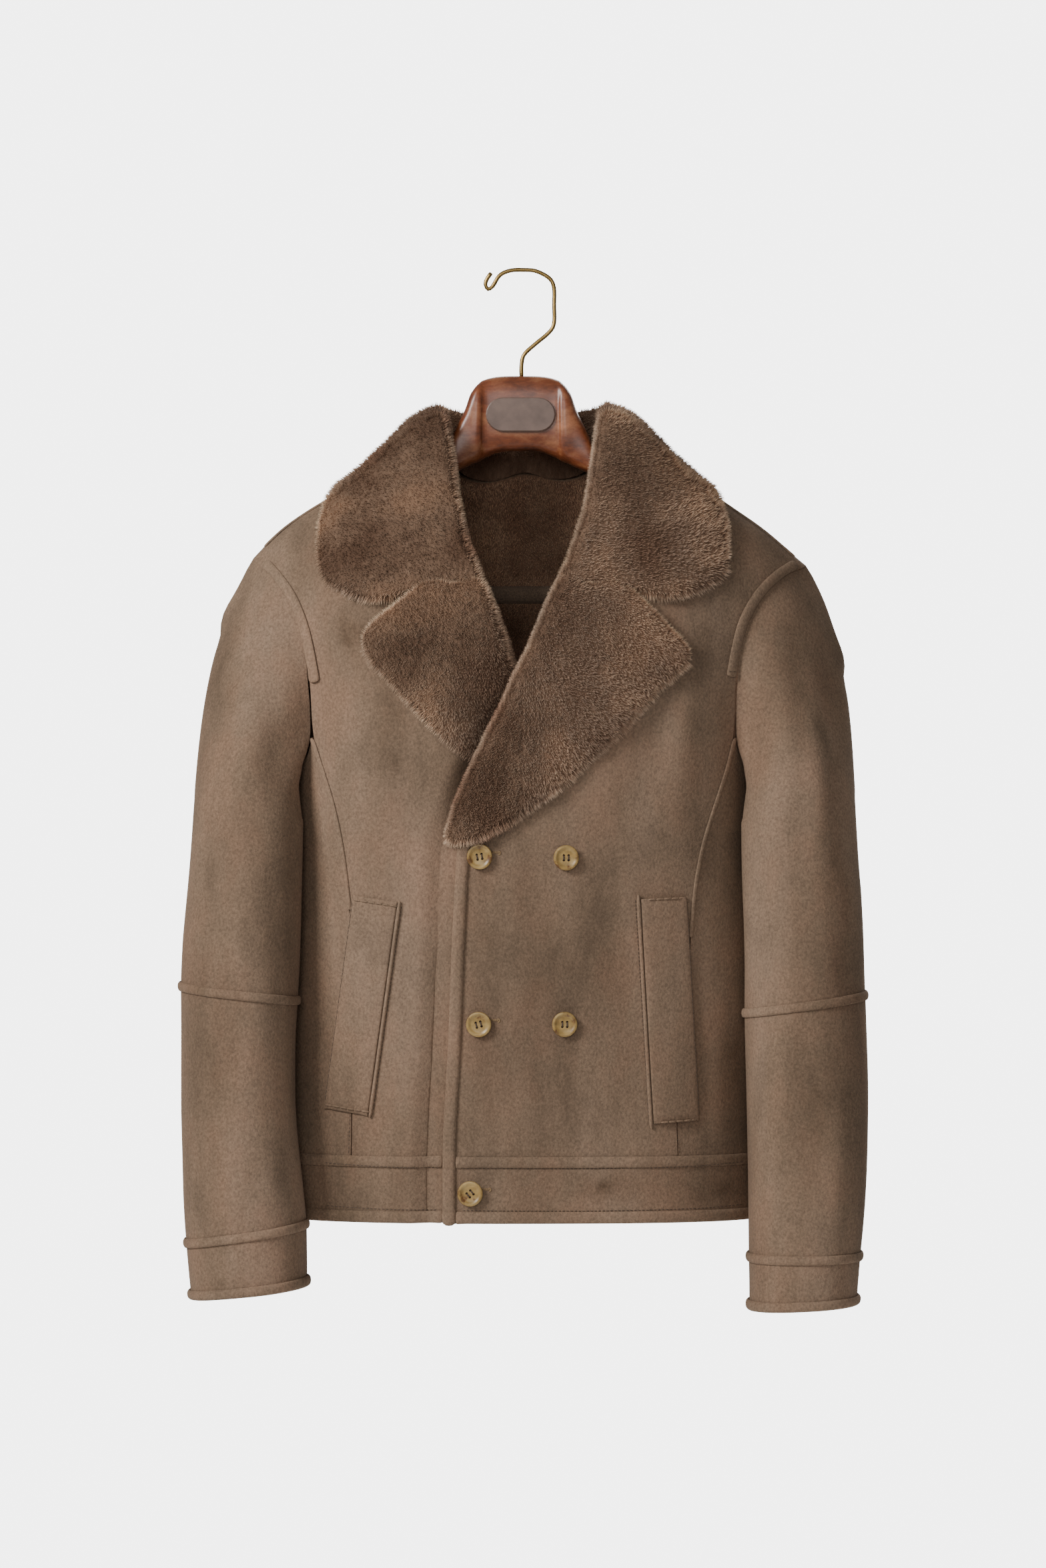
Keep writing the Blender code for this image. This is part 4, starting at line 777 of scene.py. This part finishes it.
WALNUT = plain_finish("satin_walnut", walnut_tone, 0.40, coat=0.25, bump=0.0004)
PLATE = plain_finish("satin_plate", plate_tone, 0.42)
FELT = plain_finish("flocked_felt", felt_tone, 0.95, bump=0.0006)
BRASS = plain_finish("dulled_brass", brass_tone, 0.34, metallic=1.0)
HORN = plain_finish("polished_horn", horn_tone, 0.40, coat=0.08)

wood = skin("hanger_wood", levels=2, rim=0.15)
wood.data.materials.append(WALNUT)


def round_shoulders(piece, middle=-0.0019, half=0.0384, drop=0.0070):
    """The block's top is a low arch that turns down at both corners."""
    points = points_of(piece)
    out = np.clip(np.abs(points[:, 0] - middle) / half, 0, 1.06) ** 4
    level = np.clip((points[:, 2] + 0.118) / 0.028, 0, 1) ** 2
    points[:, 2] -= drop * out * level
    place_points(piece, points)


round_shoulders(wood)
for node, finish in (("hanger_badge", PLATE), ("hanger_bar", FELT)):
    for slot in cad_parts[node].material_slots:
        slot.material = finish
hook = skin("hanger_hook", levels=1, rim=0.2)
hook.data.materials.append(BRASS)
print("hanger ready")

# %% [markdown]
# ## Buttons
#
# A horn button is turned: a dished face with a rounded rim, and four holes sewn with thread. It is
# made as one disc, spun from its half section, its holes are cut with Boolean, and each button is
# a copy of it stood on the cloth.

# %% One button
Turned = namedtuple("Turned", "radius height")
SECTION = (
    Turned(0.0000, 0.0000), Turned(0.0030, 0.0000), Turned(0.0030, 0.0010),
    Turned(0.0084, 0.0013), Turned(0.0101, 0.0022), Turned(0.0105, 0.0031),
    Turned(0.0101, 0.0041), Turned(0.0091, 0.0045), Turned(0.0082, 0.0043),
    Turned(0.0073, 0.0035), Turned(0.0060, 0.0031), Turned(0.0000, 0.0030),
)
HOLE_AWAY = 0.0020
HOLE_RADIUS = 0.00105
mesh = bpy.data.meshes.new("button_form")
mesh.from_pydata([(row.radius, 0, row.height) for row in SECTION],
                 [(i, i + 1) for i in range(len(SECTION) - 1)], [])
form = bpy.data.objects.new("button_form", mesh)
bpy.context.scene.collection.objects.link(form)
bpy.ops.object.select_all(action="DESELECT")
form.select_set(True)
bpy.context.view_layer.objects.active = form
bpy.ops.object.mode_set(mode="EDIT")
bpy.ops.mesh.select_all(action="SELECT")
bpy.ops.mesh.spin(steps=40, angle=2 * math.pi, center=(0, 0, 0), axis=(0, 0, 1))
bpy.ops.mesh.select_all(action="SELECT")
bpy.ops.mesh.remove_doubles(threshold=0.00002)
bpy.ops.mesh.normals_make_consistent(inside=False)
bpy.ops.object.mode_set(mode="OBJECT")
for x in (-1, 1):
    for y in (-1, 1):
        bpy.ops.mesh.primitive_cylinder_add(
            vertices=16, radius=HOLE_RADIUS, depth=0.02,
            location=(x * HOLE_AWAY, y * HOLE_AWAY, 0))
        drill = bpy.context.object
        cutter = form.modifiers.new("hole", "BOOLEAN")
        cutter.object = drill
        cutter.solver = "EXACT"
        bpy.context.view_layer.objects.active = form
        bpy.ops.object.modifier_apply(modifier="hole")
        bpy.data.objects.remove(drill, do_unlink=True)
print("button faces", len(form.data.polygons))

# %% Thread
thread, tree = new_finish("waxed_thread")
twist = noise_at(tree, add(tree, "ShaderNodeTexCoord").outputs["Object"], 1500, 2)
tone = ramp(tree, twist, ((0.3, "#3C2F25"), (0.7, "#5C4B3C")))
shader = add(tree, "ShaderNodeBsdfPrincipled", {"Base Color": tone, "Roughness": 0.7})
add(tree, "ShaderNodeOutputMaterial", {"Surface": shader.outputs[0]})


def threads(name, stitches, radius, finish):
    """Short rounded threads from point to point, bowed a little off the cloth."""
    points, faces = [], []
    for a, b, up in stitches:
        run = b - a
        side = run.cross(up).normalized()
        first = len(points)
        for t, thick in ((0.0, 0.45), (0.25, 1.0), (0.75, 1.0), (1.0, 0.45)):
            centre = a + run * t + up * radius * (0.9 * math.sin(math.pi * t) - 0.1)
            for k in range(6):
                angle = math.pi * k / 3
                ring = side * math.cos(angle) + up * math.sin(angle)
                points.append(centre + ring * radius * thick)
        for i in range(3):
            for k in range(6):
                a0, b0 = first + 6 * i + k, first + 6 * i + (k + 1) % 6
                faces.append((a0, b0, b0 + 6, a0 + 6))
        faces.append(tuple(first + k for k in range(6))[::-1])
        faces.append(tuple(first + 18 + k for k in range(6)))
    mesh = bpy.data.meshes.new(name)
    mesh.from_pydata([tuple(p) for p in points], [], faces)
    work = bmesh.new()
    work.from_mesh(mesh)
    bmesh.ops.recalc_face_normals(work, faces=work.faces)
    work.to_mesh(mesh)
    work.free()
    mesh.shade_smooth()
    made = bpy.data.objects.new(name, mesh)
    bpy.context.scene.collection.objects.link(made)
    made.data.materials.append(finish)
    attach(made, "root")
    return made


# %% Find the cloth under a spot
FRONT = tree_over([panels[n] for n in ("front_left", "front_right", "side_left", "side_right",
                                       "band_left", "band_right")]
                  + [sewn[n] for n in ("pocket_left", "pocket_right", "front_bead",
                                       "pocket_binding_left", "pocket_binding_right",
                                       "band_strip_left", "band_strip_right",
                                       "armhole_strip_left", "armhole_strip_right",
                                       "hem_bead_left", "hem_bead_right",
                                       "seam_strip_left", "seam_strip_right")])


def on_front(x, z):
    """Where the front's cloth is at x and z, and the way off it."""
    point, normal, _, _ = FRONT.ray_cast(Vector((x, -0.5, z)), Vector((0, 1, 0)))
    if point is None:
        return None, None
    if normal.y > 0:
        normal = -normal
    return point, normal


# %% Sew the buttons on
Button = namedtuple("Button", "node x z turn holed")
BUTTONS = (
    Button("button_top_right", -0.0358, -0.4936, 10, True),
    Button("button_top_left", 0.0354, -0.4945, 0, False),
    Button("button_low_right", -0.0364, -0.6323, 15, True),
    Button("button_low_left", 0.0342, -0.6323, 0, False),
    Button("button_band", -0.0437, -0.7727, 40, True),
)
BACKING = tree_over([panels[n] for n in ("front_left", "band_left")])
for button in BUTTONS:
    seat, normal, _, _ = BACKING.ray_cast(Vector((button.x, -0.5, button.z)), Vector((0, 1, 0)))
    piece = form.copy()
    piece.data = form.data.copy()
    piece.name = button.node + "_horn"
    bpy.context.scene.collection.objects.link(piece)
    turn = normal.to_track_quat("Z", "Y").to_matrix()
    spun = Vector((math.cos(math.radians(button.turn)), math.sin(math.radians(button.turn)), 0))
    across = Vector((-spun.y, spun.x, 0))
    for vertex in piece.data.vertices:
        here = spun * vertex.co.x + across * vertex.co.y + Vector((0, 0, vertex.co.z))
        vertex.co = seat + normal * 0.0006 + turn @ here
    piece.data.materials.append(HORN)
    bpy.ops.object.select_all(action="DESELECT")
    piece.select_set(True)
    bpy.context.view_layer.objects.active = piece
    bpy.ops.object.shade_smooth_by_angle(angle=math.radians(35))
    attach(piece, "root")
    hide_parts(button.node)
    sewing = []
    for x in (-1, 1):
        for offset in (-0.0003, 0.0003):
            ends = []
            for y in (-1, 1):
                here = spun * (x * HOLE_AWAY + offset) + across * y * HOLE_AWAY
                ends.append(seat + normal * 0.0038 + turn @ here)
            sewing.append((ends[0], ends[1], normal))
    threads(button.node + "_thread", sewing, 0.00032, thread)
bpy.data.objects.remove(form, do_unlink=True)

# %% [markdown]
# ## Stitches and buttonholes
#
# Seams are stitched with dull thread. The stitches are laid on the front by the place that the
# picture gives, seen from the front, and dropped on the cloth there. A buttonhole is a slit bound
# by short stitches side by side, most of it under its button.


# %% Rows of stitches
def row_of_stitches(name, spots, length, gap, radius=0.00028, on=on_front):
    """A dashed line of thread through spots given as x and z."""
    spots = [Vector(s) for s in spots]
    runs = [(b - a).length for a, b in zip(spots, spots[1:])]
    total = sum(runs)

    def at(distance):
        for (a, b), run in zip(zip(spots, spots[1:]), runs):
            if distance <= run:
                return a.lerp(b, distance / run)
            distance -= run
        return spots[-1]

    made, distance = [], 0.0
    while distance + length < total:
        start, end = at(distance), at(distance + length)
        a, normal = on(start.x, start.y)
        b, _ = on(end.x, end.y)
        if a is not None and b is not None and (a - b).length < length * 2:
            made.append((a, b, normal))
        distance += length + gap
    return threads(name, made, radius, thread) if made else None


Seam = namedtuple("Seam", "name spots")
SEAMS = (
    Seam("pocket_right_side", ((-0.1006, -0.5350), (-0.1244, -0.7060))),
    Seam("pocket_left_side", ((0.0930, -0.5297), (0.1045, -0.7146))),
    Seam("below_pocket_right", ((-0.1437, -0.7085), (-0.1450, -0.7415))),
    Seam("below_pocket_left", ((0.1277, -0.7180), (0.1298, -0.7405))),
    Seam("band_left", ((-0.050, -0.7520), (0.060, -0.7525), (0.150, -0.7510), (0.185, -0.7490))),
    Seam("band_right", ((-0.070, -0.7520), (-0.120, -0.7510), (-0.165, -0.7490))),
    Seam("hem_left", ((-0.050, -0.7870), (0.060, -0.7875), (0.150, -0.7865), (0.185, -0.7850))),
    Seam("hem_right", ((-0.072, -0.7870), (-0.120, -0.7865), (-0.165, -0.7850))),

    Seam("armhole_end_right", ((-0.1830, -0.3400), (-0.1765, -0.3402))),
    Seam("armhole_end_left", ((0.1715, -0.3400), (0.1775, -0.3400))),
)
for seam in SEAMS:
    row_of_stitches("stitches_" + seam.name, seam.spots, 0.0024, 0.0009)
# The outer side of each pocket casts a fine shadow. It is a painted shadow: a fine dark thread laid
# along that side.
PAINTED_SHADOW_LINES = (
    Seam("pocket_right_outer_side", ((-0.1417, -0.5320), (-0.1652, -0.7000))),
    Seam("pocket_left_outer_side", ((0.1360, -0.5300), (0.1464, -0.7120))),
)
for line in PAINTED_SHADOW_LINES:
    row_of_stitches("painted_shadow_line_" + line.name, line.spots, 0.0044, 0.0001, 0.00026)
print("seams", len(SEAMS))

# %% Rolled ends of the pockets
ENDS = (
    Seam("pocket_right_upper_end", ((-0.1410, -0.5296), (-0.1048, -0.5349))),
    Seam("pocket_right_lower_end", ((-0.1648, -0.7003), (-0.1284, -0.7056))),
    Seam("pocket_left_upper_end", ((0.0975, -0.5298), (0.1350, -0.5284))),
    Seam("pocket_left_lower_end", ((0.1080, -0.7146), (0.1455, -0.7124))),
)
for end in ENDS:
    (x0, z0), (x1, z1) = end.spots
    rolled = []
    for i in range(6):
        a, normal = on_front(x0 + (x1 - x0) * i / 6, z0 + (z1 - z0) * i / 6)
        b, _ = on_front(x0 + (x1 - x0) * (i + 1.15) / 6, z0 + (z1 - z0) * (i + 1.15) / 6)
        if a is not None and b is not None:
            rolled.append((a, b, normal))
    threads(end.name, rolled, 0.0009, EDGES)

# %% Tan thread for the buttonholes
tan, tree = new_finish("tan_thread")
twist = noise_at(tree, add(tree, "ShaderNodeTexCoord").outputs["Object"], 1500, 2)
tone = ramp(tree, twist, ((0.3, "#6A5238"), (0.7, "#9A7D5A")))
shader = add(tree, "ShaderNodeBsdfPrincipled", {"Base Color": tone, "Roughness": 0.7})
add(tree, "ShaderNodeOutputMaterial", {"Surface": shader.outputs[0]})

# %% Buttonholes
HOLE_LONG = 0.0085
for button in BUTTONS:
    if not button.holed:
        continue
    start = button.x + 0.0095
    made = []
    for i in range(9):
        x = start + (HOLE_LONG - 0.0022) * i / 8
        lower, normal = on_front(x, button.z + 0.0022)
        upper, _ = on_front(x + 0.0003, button.z + 0.0045)
        made.append((lower, upper, normal))
    for i in range(9):
        angle = -math.pi / 2 + math.pi * i / 8
        centre = (start + HOLE_LONG - 0.0022, button.z + 0.0030)
        inner, normal = on_front(centre[0] + 0.0006 * math.cos(angle),
                                 centre[1] + 0.0006 * math.sin(angle))
        outer, _ = on_front(centre[0] + 0.0021 * math.cos(angle),
                            centre[1] + 0.0021 * math.sin(angle))
        made.append((inner, outer, normal))
    threads("buttonhole_" + button.node, made, 0.00036, tan)

# %% [markdown]
# ## Floor
#
# A plain pale floor lies well under the coat, just below what the camera takes in. It belongs to
# the stage, not to the object.

# %% The stage
floor_finish, tree = new_finish("pale_floor")
speckle = noise_at(tree, add(tree, "ShaderNodeTexCoord").outputs["Object"], 3, 2)
tone = ramp(tree, speckle, ((0.3, "#F2F2F2"), (0.7, "#F7F7F7")))
shader = add(tree, "ShaderNodeBsdfPrincipled", {"Base Color": tone, "Roughness": 0.9})
add(tree, "ShaderNodeOutputMaterial", {"Surface": shader.outputs[0]})
bpy.ops.mesh.primitive_plane_add(size=2.8, location=(0, 0, -1.35))
floor = bpy.context.object
floor.name = "pale_floor"
floor.data.materials.append(floor_finish)
